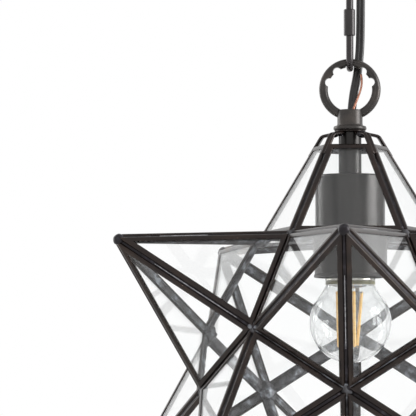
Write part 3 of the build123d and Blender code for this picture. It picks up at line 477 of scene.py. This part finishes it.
def capsule(start, end, radius, around_section=16):
    """A rod with round ends between two points: circles across its line, whose radius
    follows a quarter circle at each end."""
    along = (end - start) / np.linalg.norm(end - start)
    side = np.cross(along, [0.0, 1.0, 0.0])
    side /= np.linalg.norm(side)
    other = np.cross(along, side)
    polar = np.linspace(0.12, pi / 2, 6)
    low = start + radius * along * (1 - np.cos(polar))[:, None]
    high = end - radius * along * (1 - np.cos(polar[::-1]))[:, None]
    middle = np.concatenate([low, high])
    width = radius * np.sin(np.concatenate([polar, polar[::-1]]))[:, None, None]
    angle = np.linspace(0, 2 * pi, around_section, endpoint=False)[None, :, None]
    return middle[:, None] + width * (np.cos(angle) * side + np.sin(angle) * other)


filament_top = glass_top - 3.8 * mm
filament_low = filament_top - 31 * mm
filament_radius = 0.85 * mm
high_reach, low_reach = 7.3 * mm, 6.4 * mm      # from the bulb's axis
# each rod's angles at its upper and its lower end, fitted to the photo
filament_angles = ((-76, -71), (36, 60), (108, 108), (198, 194))
rods = []
for high_turn, low_turn in np.radians(filament_angles):
    high = np.array([high_reach * cos(high_turn), high_reach * sin(high_turn), filament_top])
    low = np.array([low_reach * cos(low_turn), low_reach * sin(low_turn), filament_low])
    rods.append(capsule(low, high, filament_radius))
make_piece("filament_rods", *closed_bars(rods), phosphor, "bulb", "filament", ["bulb_filaments"])

# Drawn nickel wire: grey and bright. Its drawing marks are far too fine to show, and
# a grain of 0.5 mm stands for them.
bare_wire = finish(
    "drawn_nickel_wire", {"Metallic": 1.0}, (0.2, 0.35), [(0.3, "#8e8f92"), (0.7, "#b4b5b7")], (0.5 * mm,),
)
dress(bare_wire, "filament_supports")

# The cap's thread is rolled into thin plated brass: a cosine wave that climbs one
# pitch a turn, fading out at the rim and at the insulator.
rim_z, cap_top = (corner.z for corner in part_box("bulb_cap"))
cap_radius = 13.2 * mm
thread_pitch = 3.63 * mm
thread_depth = 0.75 * mm
cap_around, cap_rows = 120, 110
groove_height = 1.95 * mm       # the rim's groove, above its lower edge

angle = np.linspace(0, 2 * pi, cap_around, endpoint=False)[:, None]
climb = np.linspace(0, 1, cap_rows)[None, :]
thread_low, thread_high = rim_z + 5.4 * mm, cap_top - 2.6 * mm
height = thread_low + (thread_high - thread_low) * climb
fade = np.clip(np.minimum(climb, 1 - climb) / 0.1, 0, 1)
wave = 0.5 - 0.5 * np.cos(2 * pi * (height - thread_low) / thread_pitch - angle)
thread_wall = cap_radius - thread_depth * wave * fade
thread_grid = np.stack([thread_wall * np.cos(angle), thread_wall * np.sin(angle), height + 0 * angle], -1)
rim = rounded(
    [(13.4 * mm, rim_z), (13.6 * mm, rim_z + 1.6 * mm), (13.15 * mm, rim_z + groove_height),
     (13.65 * mm, rim_z + 2.3 * mm), (13.65 * mm, rim_z + 3.6 * mm), (cap_radius, rim_z + 4.4 * mm),
     (cap_radius, rim_z + 5.0 * mm)],
    [0, 0.3 * mm, 0.15 * mm, 0.2 * mm, 0.4 * mm, 0.3 * mm, 0],
)[:-1]
# from the thread over the cap's top and down its inner wall
top_and_inside = np.array([
    (cap_radius, cap_top - 2.4 * mm), (10.6 * mm, cap_top - 0.5 * mm), (10.0 * mm, cap_top),
    (9.6 * mm, cap_top - 0.4 * mm), (12.2 * mm, cap_top - 3 * mm), (12.2 * mm, rim_z + 5 * mm),
    (12.9 * mm, rim_z),
])
cap_grid = np.concatenate([turned(rim, cap_around), thread_grid, turned(top_and_inside, cap_around)], 1)

# Nickel plate on thin brass: a warm silver with a breath of tarnish, 3 mm wide.
plated_cap = finish(
    "nickel_plated_brass_cap", {"Metallic": 1.0}, (0.16, 0.3),
    [(0.3, "#b9b6ad"), (0.7, "#d2d0ca")], (3 * mm,),
)
cap_faces = grid_faces(cap_around, cap_grid.shape[1], True, True)
screw_cap = make_piece("bulb_screw_cap", cap_grid, cap_faces, plated_cap, "bulb", "cap_metal", ["bulb_cap"])

# Below its groove the rim is filled with a cement that holds the glass: hard and half
# glossy, a khaki with crumbs of 1 mm.
cap_cement = finish(
    "khaki_cap_cement", {"Roughness": 0.4}, None, [(0.3, "#6e6a50"), (0.7, "#8f8a6a")], (1 * mm,),
)
screw_cap.data.materials.append(cap_cement)
face_middles = cap_grid.reshape(-1, 3)[cap_faces].mean(1)
cemented = (face_middles[:, 2] < rim_z + groove_height) & (np.hypot(*face_middles[:, :2].T) > 13.1 * mm)
screw_cap.data.polygons.foreach_set("material_index", cemented.astype(int))

# ---------------------------------------------------------------- star: places
# Twelve five-sided points stand on the faces of a dodecahedron. Every place on the
# star comes from its core radius and its reach, as in a workshop's cutting plan.
core_radius = 87.6 * mm
tip_reach = 152.0 * mm
sides = 5
came_half = 1.4 * mm            # half the channel's thickness
solder_gap = 0.1 * mm
top_opening = 50.4 * mm         # the top point is cut off this far above its base
door_gap = 0.5 * mm
stem_drop = 129.2 * mm          # flange face to the star's centre
centre = np.array([0, 0, flange_z - stem_drop])

golden = (1 + sqrt(5)) / 2
edge = core_radius * 4 / (sqrt(3) * 2 * golden)
base_radius = edge / (2 * sin(pi / sides))
base_inradius = base_radius * cos(pi / sides)
base_height = sqrt(core_radius ** 2 - base_radius ** 2)
point_height = tip_reach - base_height
pane_height = hypot(point_height, base_inradius)
pane_side = hypot(pane_height, edge / 2)
pane_tilt = atan2(point_height, base_inradius)
valley_half = pi - atan2(golden, 1) - pane_tilt
ridge_half = pi / 2 - asin(sin(pane_tilt) * sin(pi / sides))
valley_inset = came_half / tan(valley_half) + solder_gap / 2
ridge_inset = came_half / tan(ridge_half) + solder_gap / 2
top_cut = top_opening / sin(pane_tilt)


def azimuth(degrees_round):
    """Level unit vector: 0 looks towards the viewer, growing to the right."""
    return np.array([sin(radians(degrees_round)), -cos(radians(degrees_round)), 0.0])


def place(origin, x_axis, z_axis):
    """A 4 by 4 place from an origin and two unit axes."""
    matrix = np.eye(4)
    z_axis = z_axis / np.linalg.norm(z_axis)
    x_axis = x_axis / np.linalg.norm(x_axis)
    matrix[:3, 0], matrix[:3, 1], matrix[:3, 2] = x_axis, np.cross(z_axis, x_axis), z_axis
    matrix[:3, 3] = origin
    return matrix


def point_place(axis, towards):
    """The base of the point that stands along axis."""
    return place(centre + axis * base_height, np.cross(towards, axis), axis)


def ways_round(first):
    """Level unit vectors at each fifth of a turn, from first degrees on."""
    turn = np.radians(first + 360 / sides * np.arange(sides))
    return np.stack([np.cos(turn), np.sin(turn), 0 * turn], -1)


up = np.array([0.0, 0.0, 1.0])
lean, rise = 2 / sqrt(5), 1 / sqrt(5)
pane_ways, corner_ways = ways_round(-90), ways_round(-54)     # in a point's base
points = {"top_point": point_place(up, np.array([0, 1.0, 0]))}
for number in range(sides):
    level = azimuth(-144 + 72 * number)
    points[f"upper_point_{number + 1}"] = point_place(level * lean + up * rise, level * rise - up * lean)
for number in range(sides):
    level = azimuth(-108 + 72 * number)
    points[f"lower_point_{number + 1}"] = point_place(level * lean - up * rise, level * rise + up * lean)
points["bottom_point"] = point_place(-up, np.array([0, -1.0, 0]))
pane_places = [
    place(way * base_inradius, np.cross(up, way), (way * point_height + up * base_inradius) / pane_height)
    for way in pane_ways
]


def moved(matrix, spots):
    """Points carried by a place."""
    return spots @ matrix[:3, :3].T + matrix[:3, 3]


# ---------------------------------------------------------------- star: channels
# Each pane is framed in drawn brass channel, mitred at the corners, 3 mm wide with
# rounded lips. Outside it has a brown-black patina; inside it is tinned by the solder,
# all but the inner lip's rounded edge, whose dark patina is also painted shade.
def pane_corners(step, base_inset, cut):
    """Corners of the pane's outline drawn in by step: three, or four where cut."""
    half = edge / 2
    share = 1 - (ridge_inset + step) * pane_side / (half * pane_height)
    low_y = base_inset + step
    low_x = half * (share - low_y / pane_height)
    if cut is None:
        return [(-low_x, low_y), (low_x, low_y), (0, pane_height * share)]
    high_y = cut - step
    high_x = half * (share - high_y / pane_height)
    return [(-low_x, low_y), (low_x, low_y), (high_x, high_y), (-high_x, high_y)]


# across the channel: distance in from its outer edge, and height from the glass's
# middle plane, from the outer lip round the web to the inner lip and back inside
lip_profile = np.array([
    (2.98, 0.90), (2.97, 1.08), (2.82, 1.24), (2.4, 1.34), (1.9, 1.385), (1.4, 1.4), (0.9, 1.37),
    (0.5, 1.27), (0.2, 1.09), (0.05, 0.85), (0.0, 0.55),
]) * mm
closed_profile = np.concatenate([
    lip_profile, (lip_profile * np.array([1, -1]))[::-1], np.array([(0.8, -0.9), (0.8, 0.9)]) * mm,
])
outer_segments = len(lip_profile)
# beyond these strips the inner lip's edge keeps the dark patina, which also paints its shade
lip_edge = 18                   # strips from the web to here are tinned by the solder


def channel_grid(base_inset, cut):
    """Profile by corner grid of one mitred frame in its pane's own plane."""
    rows = []
    for step, height in closed_profile:
        rows.append([(x, y, height) for x, y in pane_corners(step, base_inset, cut)])
    return np.array(rows)


# Brass channel under a brown-black patina: dark and glossy, browner in clouds of 5 mm.
# The drawn skin's grain of 0.7 mm is coarser than real, and only breaks the shine.
came_bronze = finish(
    "patinated_brass_channel", {"Metallic": 0.5}, (0.18, 0.28),
    [(0.28, "#1c1513"), (0.5, "#251c19"), (0.7, "#32261f"), (0.85, "#46352b")], (5 * mm, 6.0),
    relief=(0.008 * mm, 0.3), pits=(0.7 * mm, 3.0),
)

# Brass tinned by hand with solder: grey smears of 2.6 mm between dark flux, dull and
# pitted every millimetre or so.
tinned = finish(
    "solder_tinned_brass", {"Metallic": 0.45}, (0.34, 0.6),
    [(0.3, "#2a2829"), (0.45, "#3f3d3f"), (0.58, "#5c5d61"), (0.68, "#989ca4")], (2.6 * mm, 8.0),
    relief=(0.12 * mm, 0.7), pits=(1.1 * mm, 4.0), dulled=True,
)

for name, point in points.items():
    cut = top_cut if name == "top_point" else None
    base_inset = valley_inset + (door_gap if name == "bottom_point" else 0)
    flat_frame = channel_grid(base_inset, cut)
    rows, corners = flat_frame.shape[:2]
    frames = np.array([moved(point @ pane_place, flat_frame) for pane_place in pane_places])
    faces = np.concatenate([
        grid_faces(rows, corners, True, True, number * rows * corners) for number in range(sides)
    ])
    piece = make_piece(
        f"{name}_channels", frames, faces, came_bronze, "door" if name == "bottom_point" else "star",
        "channel", [f"{name}_cames"], sharp=lambda a, b: a % corners == b % corners,
    )
    piece.data.materials.append(tinned)
    # tinned strips; the inner lip's edge keeps the dark patina, partly painted shade
    strip = (np.arange(len(faces)) // corners) % rows
    solder_side = (strip >= outer_segments) & (strip < lip_edge)
    piece.data.polygons.foreach_set("material_index", solder_side.astype(int))

# ---------------------------------------------------------------- crown and hinge
# Five twin bars go on up from the top ridges, bend inwards and are soldered to a
# washer under the flange, all with the channels' patina. So has the small hinge.
washer_radius = 8.6 * mm
washer_sheet = 0.9 * mm
washer_bore = 4.95 * mm
leg_sink = 0.4 * mm             # legs lie flush between the ridge's channels
leg_join = 1.6 * mm             # a leg ends this far inside the washer's rim
leg_drop = 1.9 * mm             # below the flange, at the washer's rim
leg_slope = tan(radians(10.5))
leg_tail = 5 * mm               # a leg starts this far below the top opening
leg_bend = 1.3 * mm

# two rounded bars side by side, as (side, outward) pairs
half_section = np.array([
    (-2.1, -0.3), (-2.15, 0.1), (-2.05, 0.55), (-1.75, 0.95), (-1.3, 1.2), (-0.85, 1.15), (-0.4, 0.8),
])
leg_section = np.concatenate([
    half_section, [(0, 0.45)], (half_section * np.array([-1, 1]))[::-1], [(0, -0.4)],
]) * mm

ridge_length = hypot(base_radius, point_height)
ridge_up = np.array([-base_radius, point_height]) / ridge_length
ridge_out = np.array([ridge_up[1], -ridge_up[0]])
ridge_foot = np.array([base_radius, base_height]) - ridge_out * leg_sink
rim_spot = np.array([washer_radius, stem_drop - leg_drop])
climb_up = ((rim_spot[1] - ridge_foot[1] + leg_slope * (rim_spot[0] - ridge_foot[0]))
            / (ridge_up[1] + leg_slope * ridge_up[0]))
bend_spot = ridge_foot + ridge_up * climb_up
tail_spot = ridge_foot + ridge_up * (top_opening - leg_tail) / ridge_up[1]
inner_spot = rim_spot + np.array([-leg_join, leg_join * leg_slope])
to_tail = (tail_spot - bend_spot) / np.linalg.norm(tail_spot - bend_spot)
to_rim = (inner_spot - bend_spot) / np.linalg.norm(inner_spot - bend_spot)
share = np.linspace(0, 1, 12)[:, None]
arc = ((1 - share) ** 2 * (bend_spot + to_tail * leg_bend) + 2 * share * (1 - share) * bend_spot
       + share ** 2 * (bend_spot + to_rim * leg_bend))
route = np.concatenate([
    tail_spot + (arc[0] - tail_spot) * np.linspace(0, 1, 10)[:-1, None], arc,
    arc[-1] + (inner_spot - arc[-1]) * np.linspace(0, 1, 8)[1:, None],
])
heading = np.gradient(route, axis=0)
heading /= np.linalg.norm(heading, axis=1, keepdims=True)
legs = []
for way in corner_ways:
    spots = route[:, :1] * way + route[:, 1:] * up
    outward = heading[:, 1:] * way - heading[:, :1] * up
    across = leg_section[None, :, :1] * np.cross(up, way)
    legs.append(centre + spots[:, None] + across + leg_section[None, :, 1:] * outward[:, None])

leg_points, leg_faces = closed_bars(legs)
washer_low = flange_z - washer_sheet
washer = turned([(washer_bore, washer_low), (washer_radius, washer_low),
                 (washer_radius, flange_z), (washer_bore, flange_z)], 64)
crown_points = np.concatenate([leg_points, washer.reshape(-1, 3)])
crown_faces = leg_faces + grid_faces(*washer.shape[:2], True, True, len(leg_points)).tolist()
make_piece("crown_washer_and_legs", crown_points, crown_faces, came_bronze,
           "star", "channel", ["hanger_crown"])
dress(came_bronze, "door_hinge_leaf", "frame_hinge_leaf", "door_hinge_pin")

# ---------------------------------------------------------------- star: glass
# Five panes to a point, of clear float glass 1.8 mm thick, are cut to triangles, or in
# the top point to trapezoids, and seated in the channels.

# Float glass is flat, clear and nearly colourless, so that it shows by its reflections.
# Its tint varies faintly over 40 mm.
float_glass = clear_glass("clear_float_glass", 40 * mm, "#fcfdfd", 1.4, "#f4f7f6")
dress(float_glass, *[f"{name}_glass" for name in points])

# ---------------------------------------------------------------- star: solder
# Soft solder joins the frames. It lies dark and sunk in the outer grooves of the
# ridges, and grey and lumpy on the inside, with a blob at every node and tip. Thin
# bright beads in some grooves are painted highlights.
def ripples(spots, size, seed):
    """Smooth unevenness of about -1 to 1 at each spot: the sum of 14 sine waves that
    run in random directions with lengths near size, by that seed."""
    draw = np.random.default_rng(seed)
    waves = draw.normal(size=(14, 3))
    waves *= (2 * pi / size * draw.uniform(0.6, 1.7, 14) / np.linalg.norm(waves, axis=1))[:, None]
    phases = draw.uniform(0, 2 * pi, 14)
    return np.sin(spots @ waves.T + phases).sum(-1) / 4


def seam(start, end, outward, section, rough, seed, stations=26):
    """A bead from start to end: a section of (side, outward) pairs carried along the
    line, scaled about its middle by a flat-topped sine so that both ends are thinner,
    and pushed out or in by ripples of rough metres."""
    along = (end - start) / np.linalg.norm(end - start)
    side = np.cross(along, outward)
    share = np.linspace(0, 1, stations)[:, None]
    swell = 0.35 + 0.65 * np.sin(pi * np.clip(share, 0.02, 0.98)) ** 0.25
    middle = section.mean(0)
    ring = middle + (section - middle) * swell[:, :, None]
    line = start + (end - start) * share
    spots = line[:, None, :] + ring[..., :1] * side + ring[..., 1:] * outward
    away = (ring - middle)[..., :1] * side + (ring - middle)[..., 1:] * outward
    length = np.linalg.norm(away, axis=-1, keepdims=True)
    return spots + away / np.maximum(length, 1e-6) * ripples(spots, 5 * mm, seed)[..., None] * rough


def blob(middle, outward, radius, flat, rough, seed, rows=14, columns=20):
    """A lump: a sphere's grid of polar and round angles, flattened along outward, its
    radius times one plus rough times the ripples."""
    helper = np.array([0.3, 0.5, 0.81])
    side = np.cross(outward, helper)
    side /= np.linalg.norm(side)
    other = np.cross(outward, side)
    polar = np.linspace(0.06, pi - 0.06, rows)[:, None]
    around_lump = np.linspace(0, 2 * pi, columns, endpoint=False)[None, :]
    directions = (np.sin(polar) * np.cos(around_lump))[..., None] * side \
        + (np.sin(polar) * np.sin(around_lump))[..., None] * other \
        + (np.cos(polar) * flat + 0 * around_lump)[..., None] * outward
    uneven = 1 + rough * ripples(middle + directions * radius, 4.5 * mm, seed)
    return middle + directions * radius * uneven[..., None]


# Soft solder blackened with patina: dark and crusted, with specks of 2.5 mm where it
# has worn bright.
sunk_solder = finish(
    "blackened_solder", {"Metallic": 0.6}, (0.2, 0.42),
    [(0.3, "#161314"), (0.55, "#221e22"), (0.68, "#3a383e"), (0.76, "#a5a6ac")], (2.5 * mm, 6.0),
    relief=(0.1 * mm, 0.6),
)

# Thin beads of a light grey metal, mottled over 2 mm, in some ridges' grooves: painted
# highlights, the streaks of light along the channels' lips.
painted_highlight_solder = finish(
    "solder_painted_highlight", {"Metallic": 1.0}, (0.2, 0.35), [(0.3, "#a9a9ad"), (0.7, "#dcdce0")], (2 * mm,),
)

# sections as (side, outward) pairs: in the outer groove, in the inner corner, along
# a valley, and the thin bright bead that paints a highlight in a groove
groove_section = np.array([(-0.95, -0.25), (-0.45, -0.42), (0, -0.48), (0.45, -0.42), (0.95, -0.25),
                           (0.5, -0.95), (0, -1.5), (-0.5, -0.95)]) * mm
fillet_section = np.array([(-2.2, -3.0), (-1.2, -2.72), (0, -2.62), (1.2, -2.72), (2.2, -3.0),
                           (1.2, -2.3), (0, -1.6), (-1.2, -2.3)]) * mm
valley_section = np.array([(-2.9, 0.05), (-1.7, -0.82), (-0.7, -1.12), (0, -1.18), (0.7, -1.12),
                           (1.7, -0.82), (2.9, 0.05), (1.4, -0.3), (0, 1.0), (-1.4, -0.3)]) * mm
highlight_bead_section = np.array([(-0.26, 0.0), (0, 0.16), (0.26, 0.0), (0, -0.25)]) * mm

apex = np.array([0, 0, point_height])
seam_start, seam_stop = 3 * mm, 4 * mm          # short of a node and of a tip
top_seam_stop = 9 * mm                          # below the top opening
thread_sink = 0.3 * mm
dark, grey, bright = ({"star": [], "door": []} for kind in range(3))
draw = np.random.default_rng(7)
for index, (name, point) in enumerate(points.items()):
    body = "door" if name == "bottom_point" else "star"
    for number, way in enumerate(corner_ways):
        foot, tip = moved(point, np.array([way * base_radius, apex]))
        along = (tip - foot) / ridge_length
        outward = point[:3, :3] @ (way * point_height + up * base_radius) / ridge_length
        start, stop = foot + along * seam_start, tip - along * seam_stop
        if name == "top_point":
            stop = foot + along * (top_opening - top_seam_stop) * ridge_length / point_height
        seed = 10 * index + number
        dark[body].append(seam(start, stop, outward, groove_section, 0.07 * mm, seed))
        grey[body].append(seam(start, stop, outward, fillet_section, 0.22 * mm, seed + 200))
        if name == "top_point":
            continue
        # a thin bright bead along part of some grooves: a painted highlight
        low, high = draw.uniform(0.1, 0.5), draw.uniform(0.55, 0.85)
        if name == "upper_point_3" and abs(foot[0]) < 1e-4:
            low, high = 0.25, 0.7               # the upright seam in front
        elif draw.uniform() < 0.45:
            continue
        ends = foot + (tip - foot) * np.array([[low], [high]]) - outward * thread_sink
        bright[body].append(seam(*ends, outward, highlight_bead_section, 0.04 * mm, seed + 1000, 40))

axes = {name: point[:3, 2] for name, point in points.items()}
names = list(points)
neighbours = 0.4                # the product of two points' axes is above it side by side
for name, other in combinations(names, 2):
    one, two = axes[name], axes[other]
    if one @ two < neighbours or "bottom_point" in (name, other):
        continue
    outward = (one + two) / np.linalg.norm(one + two)
    along = np.cross(one, two)
    along /= np.linalg.norm(along)
    middle = centre + outward * sqrt(core_radius ** 2 - (edge / 2) ** 2)
    reach = along * (edge / 2 - 2 * mm)
    seed = 400 + 12 * names.index(name) + names.index(other)
    grey["star"].append(seam(middle - reach, middle + reach, outward, valley_section, 0.3 * mm, seed))

corner_trios = [
    trio for trio in combinations(names, 3)
    if min(axes[one] @ axes[two] for one, two in combinations(trio, 2)) > neighbours
]
inner_lump, inner_sink = 5.6 * mm, 1.9 * mm
outer_lump, outer_sink = 2.7 * mm, 0.1 * mm
door_lump, door_lift = 3.6 * mm, 2.5 * mm       # beside the door, clear of its swing
for index, trio in enumerate(corner_trios):
    total = axes[trio[0]] + axes[trio[1]] + axes[trio[2]]
    outward = total / np.linalg.norm(total)
    beside_door = "bottom_point" in trio
    corner = centre + up * (door_lift if beside_door else 0)
    inner, outer = (corner + outward * (core_radius - sink) for sink in (inner_sink, outer_sink))
    size = door_lump if beside_door else inner_lump
    grey["star"].append(blob(inner, outward, size, 0.5, 0.18, 700 + index))
    dark["star"].append(blob(outer, outward, outer_lump, 0.42, 0.14, 760 + index))

tip_lump, tip_sink = 3.3 * mm, 3.9 * mm
for index, (name, axis) in enumerate(axes.items()):
    if name != "top_point":
        body = "door" if name == "bottom_point" else "star"
        tip = centre + axis * (tip_reach - tip_sink)
        dark[body].append(blob(tip, axis, tip_lump, 1.02, 0.05, 800 + index))

# on each leg, under the washer, as radius, distance from the axis and depth; the
# first of them is the largest
for number, way in enumerate(corner_ways):
    radius, distance, depth = (2.7, 11.6, 2.9) if number == 0 else (1.9, 9.0, 2.2)
    lump = way * distance * mm + up * (flange_z - depth * mm)
    dark["star"].append(blob(lump, up, radius * mm, 0.75, 0.2, 900 + number))

for body in ("star", "door"):
    replaced = ["star_solder"] if body == "star" else ["bottom_point_solder"]
    make_piece(f"{body}_groove_solder", *closed_bars(dark[body]), sunk_solder, body, "solder", replaced)
    make_piece(f"{body}_inner_solder", *closed_bars(grey[body]), tinned, body, "solder")
    # the thin bright beads are painted highlights
    make_piece(f"{body}_painted_highlight_beads", *closed_bars(bright[body]), painted_highlight_solder, body, "solder")

# ---------------------------------------------------------------- cord
# A flat black twin flex of 5 mm runs from the canopy along the chain, behind the
# ring and down its neck. It is four lengths end to end, cut at the links' middles, on no body.
star_ring_z = flange_z + loop_height
canopy_ring_z = canopy_face_z - loop_height
cord_route = np.array([
    (0, 0.5 * mm, star_ring_z - 40 * mm), (0.1 * mm, 0.6 * mm, star_ring_z - 11 * mm),
    (5.4 * mm, 6.0 * mm, star_ring_z + 14.5 * mm), (6.1 * mm, 5.7 * mm, star_ring_z + 45 * mm),
    (6.1 * mm, 5.7 * mm, canopy_ring_z - 45 * mm), (5.4 * mm, 6.0 * mm, canopy_ring_z - 14.5 * mm),
    (0.1 * mm, 0.6 * mm, canopy_ring_z + 11 * mm), (0, 0.5 * mm, canopy_ring_z + 44 * mm),
])


def smooth_line(route, resolution=24):
    """Points of the smooth curve of order 3, a NURBS, that the route controls."""
    curve = bpy.data.curves.new("line", "CURVE")
    curve.dimensions = "3D"
    spline = curve.splines.new("NURBS")
    spline.points.add(len(route) - 1)
    spline.points.foreach_set("co", np.column_stack([route, np.ones(len(route))]).ravel())
    spline.order_u = 3
    spline.use_endpoint_u = True
    spline.resolution_u = resolution
    holder = bpy.data.objects.new("line", curve)
    mesh = bpy.data.meshes.new_from_object(holder)
    spots = np.zeros(3 * len(mesh.vertices))
    mesh.vertices.foreach_get("co", spots)
    bpy.data.objects.remove(holder)
    bpy.data.meshes.remove(mesh)
    bpy.data.curves.remove(curve)
    return spots.reshape(-1, 3)


def flex_tube(line, lobes, offset, around_section=28):
    """A tube along the line. Its section is two circles of radius lobes, offset to each
    side in X and merged: at each angle the far circle's reach from the middle."""
    along = np.gradient(line, axis=0)
    along /= np.linalg.norm(along, axis=1, keepdims=True)
    across = np.array([1.0, 0, 0]) - along * along[:, :1]
    across /= np.linalg.norm(across, axis=1, keepdims=True)
    deep = np.cross(along, across)
    angle = np.linspace(0, 2 * pi, around_section, endpoint=False)
    radius = offset * np.abs(np.cos(angle)) + np.sqrt(lobes ** 2 - (offset * np.sin(angle)) ** 2)
    x, y = (radius * np.cos(angle))[:, None], (radius * np.sin(angle))[:, None]
    return line[:, None, :] + x * across[:, None, :] + y * deep[:, None, :]


# Black PVC, extruded over both cores: smooth and dark, scuffed in patches of 2 mm.
flex_jacket = finish(
    "black_pvc_twin_flex", {"IOR": 1.53}, (0.24, 0.36), [(0.3, "#141212"), (0.7, "#201d1e")], (2 * mm,),
)

line = smooth_line(cord_route)
links = ["quick_link", "lower_chain_link", "upper_chain_link"]
cuts = [line[0, 2], *[(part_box(link)[0].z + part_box(link)[1].z) / 2 for link in links], line[-1, 2]]
lobe_radius, lobe_offset = 1.4 * mm, 1.05 * mm
for number in range(4):
    low, high = cuts[number], cuts[number + 1]
    # a length ends exactly on its cut, so that the next one meets it
    ends = [[np.interp(z, line[:, 2], line[:, axis]) for axis in range(3)] for z in (low, high)]
    between_cuts = (line[:, 2] > low + 1e-4) & (line[:, 2] < high - 1e-4)
    spots = np.concatenate([ends[:1], line[between_cuts], ends[1:]])
    run = np.concatenate([[0], np.cumsum(np.linalg.norm(np.diff(spots, axis=0), axis=1))])
    even = np.linspace(0, 1, 60) * run[-1]
    grid = flex_tube(np.stack([np.interp(even, run, spots[:, axis]) for axis in range(3)], -1),
                     lobe_radius, lobe_offset)
    rings, section = grid.shape[:2]
    piece = make_piece(
        f"cord_length_{number + 1}", *closed_bars([grid]), flex_jacket, None, "cord_sleeve",
        sharp=lambda a, b: (a // section == b // section) & np.isin(a // section, (0, rings - 1)),
    )
    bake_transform(piece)
    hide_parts("power_cord")

# ---------------------------------------------------------------- earth wire
# The lamp's earth wire is a strand of bare copper. It comes out of the neck beside the
# cord and bows outwards in the ring.
earth_route = np.array([
    (6.2 * mm, 0.8 * mm, star_ring_z + 8.6 * mm), (7.0 * mm, 0.9 * mm, star_ring_z + 4.5 * mm),
    (5.6 * mm, 0.2 * mm, star_ring_z - 2.0 * mm), (2.2 * mm, -2.3 * mm, star_ring_z - 10.5 * mm),
    (0.8 * mm, -2.7 * mm, star_ring_z - 16.0 * mm), (0.7 * mm, -2.6 * mm, star_ring_z - 24.0 * mm),
])

# Drawn copper, a little oxidised: a pinkish brown metal. The strand's wires are finer
# than can show, and marks of 0.8 mm stand for them.
bare_copper = finish(
    "bare_copper_strand", {"Metallic": 0.9}, (0.25, 0.4), [(0.3, "#8a5a48"), (0.7, "#b98672")], (0.8 * mm,),
)
wire_grid = flex_tube(smooth_line(earth_route), 0.6 * mm, 0.0, 12)
make_piece("earth_wire", *closed_bars([wire_grid]), bare_copper, "star", "copper", ["ground_wire"])

# ---------------------------------------------------------------- studio
# A pale floor far under the hanging star, a white surround, a large soft light to the
# right and a weaker one to the left, and the camera a little below the star.
floor_z = cad_box[0][2] - 3.4    # low enough for a look from below
span = 12.0
floor_mesh = bpy.data.meshes.new("floor")
floor_sides = ((-span, -span), (span, -span), (span, span), (-span, span))
floor_corners = [(x, y, floor_z) for x, y in floor_sides]
floor_mesh.from_pydata(floor_corners, [], [(0, 1, 2, 3)])
floor = bpy.data.objects.new("floor", floor_mesh)
bpy.context.scene.collection.objects.link(floor)


def seen_brighter(tree, low, high):
    """A strength that is high to rays from the camera, a mirror or glass, so that the
    background looks white there, and low to those that light things."""
    ray = add(tree, "ShaderNodeLightPath", {}).outputs
    either = add(tree, "ShaderNodeMath", {0: ray["Is Camera Ray"], 1: ray["Is Transmission Ray"]},
                 operation="MAXIMUM").outputs[0]
    seen = add(tree, "ShaderNodeMath", {0: either, 1: ray["Is Glossy Ray"]}, operation="MAXIMUM").outputs[0]
    return add(tree, "ShaderNodeMapRange", {"Value": seen, "To Min": low, "To Max": high}).outputs["Result"]


# Matt white floor paint. It glows a little where it is seen directly, so that the
# background looks white there.
floor_paint = bpy.data.materials.new("pale_floor")
tree = empty_tree(floor_paint)
matt = add(tree, "ShaderNodeBsdfPrincipled", {
    "Base Color": linear("#f4f4f2"), "Roughness": 0.8,
    "Emission Color": linear("#ffffff"), "Emission Strength": seen_brighter(tree, 0, 0.36),
})
add(tree, "ShaderNodeOutputMaterial", {"Surface": matt.outputs[0]})
floor_mesh.materials.append(floor_paint)

world = bpy.data.worlds.new("white_studio")
bpy.context.scene.world = world
tree = empty_tree(world)
white = add(tree, "ShaderNodeBackground", {"Color": (1, 1, 1, 1), "Strength": seen_brighter(tree, 0.72, 1)})
add(tree, "ShaderNodeOutputWorld", {"Surface": white.outputs[0]})


def soft_light(name, degrees_round, elevation, distance, size, power):
    """A rectangular light aimed at the star from an azimuth and elevation."""
    data = bpy.data.lights.new(name, "AREA")
    data.shape = "RECTANGLE"
    data.size, data.size_y = size
    data.energy = power
    lamp = bpy.data.objects.new(name, data)
    level = azimuth(degrees_round) * cos(radians(elevation)) + up * sin(radians(elevation))
    lamp.location = Vector(centre + level * distance)
    lamp.rotation_euler = Vector(-level).to_track_quat("-Z", "Y").to_euler()
    bpy.context.scene.collection.objects.link(lamp)


# directions, sizes and watts are fitted to the photo's highlights and shades
soft_light("right_softbox", 82, 14, 1.2, (0.7, 0.9), 14)
soft_light("left_softbox", -118, 18, 1.4, (0.5, 0.9), 4)

# lens, place and direction are fitted to the photo
camera_data = bpy.data.cameras.new("camera")
camera_data.sensor_width = 36
camera_data.lens = 313.6
camera_data.clip_end = 50
camera = bpy.data.objects.new("camera", camera_data)
camera.location = (0.0507, -2.0233, -0.3745)
camera.rotation_euler = Vector((-0.06418, 0.99602, 0.06172)).to_track_quat("-Z", "Y").to_euler()
bpy.context.scene.collection.objects.link(camera)
scene = bpy.context.scene
scene.camera = camera
scene.view_settings.view_transform = "Standard"
scene.cycles.max_bounces = 32
scene.cycles.transmission_bounces = 32
scene.cycles.transparent_max_bounces = 32
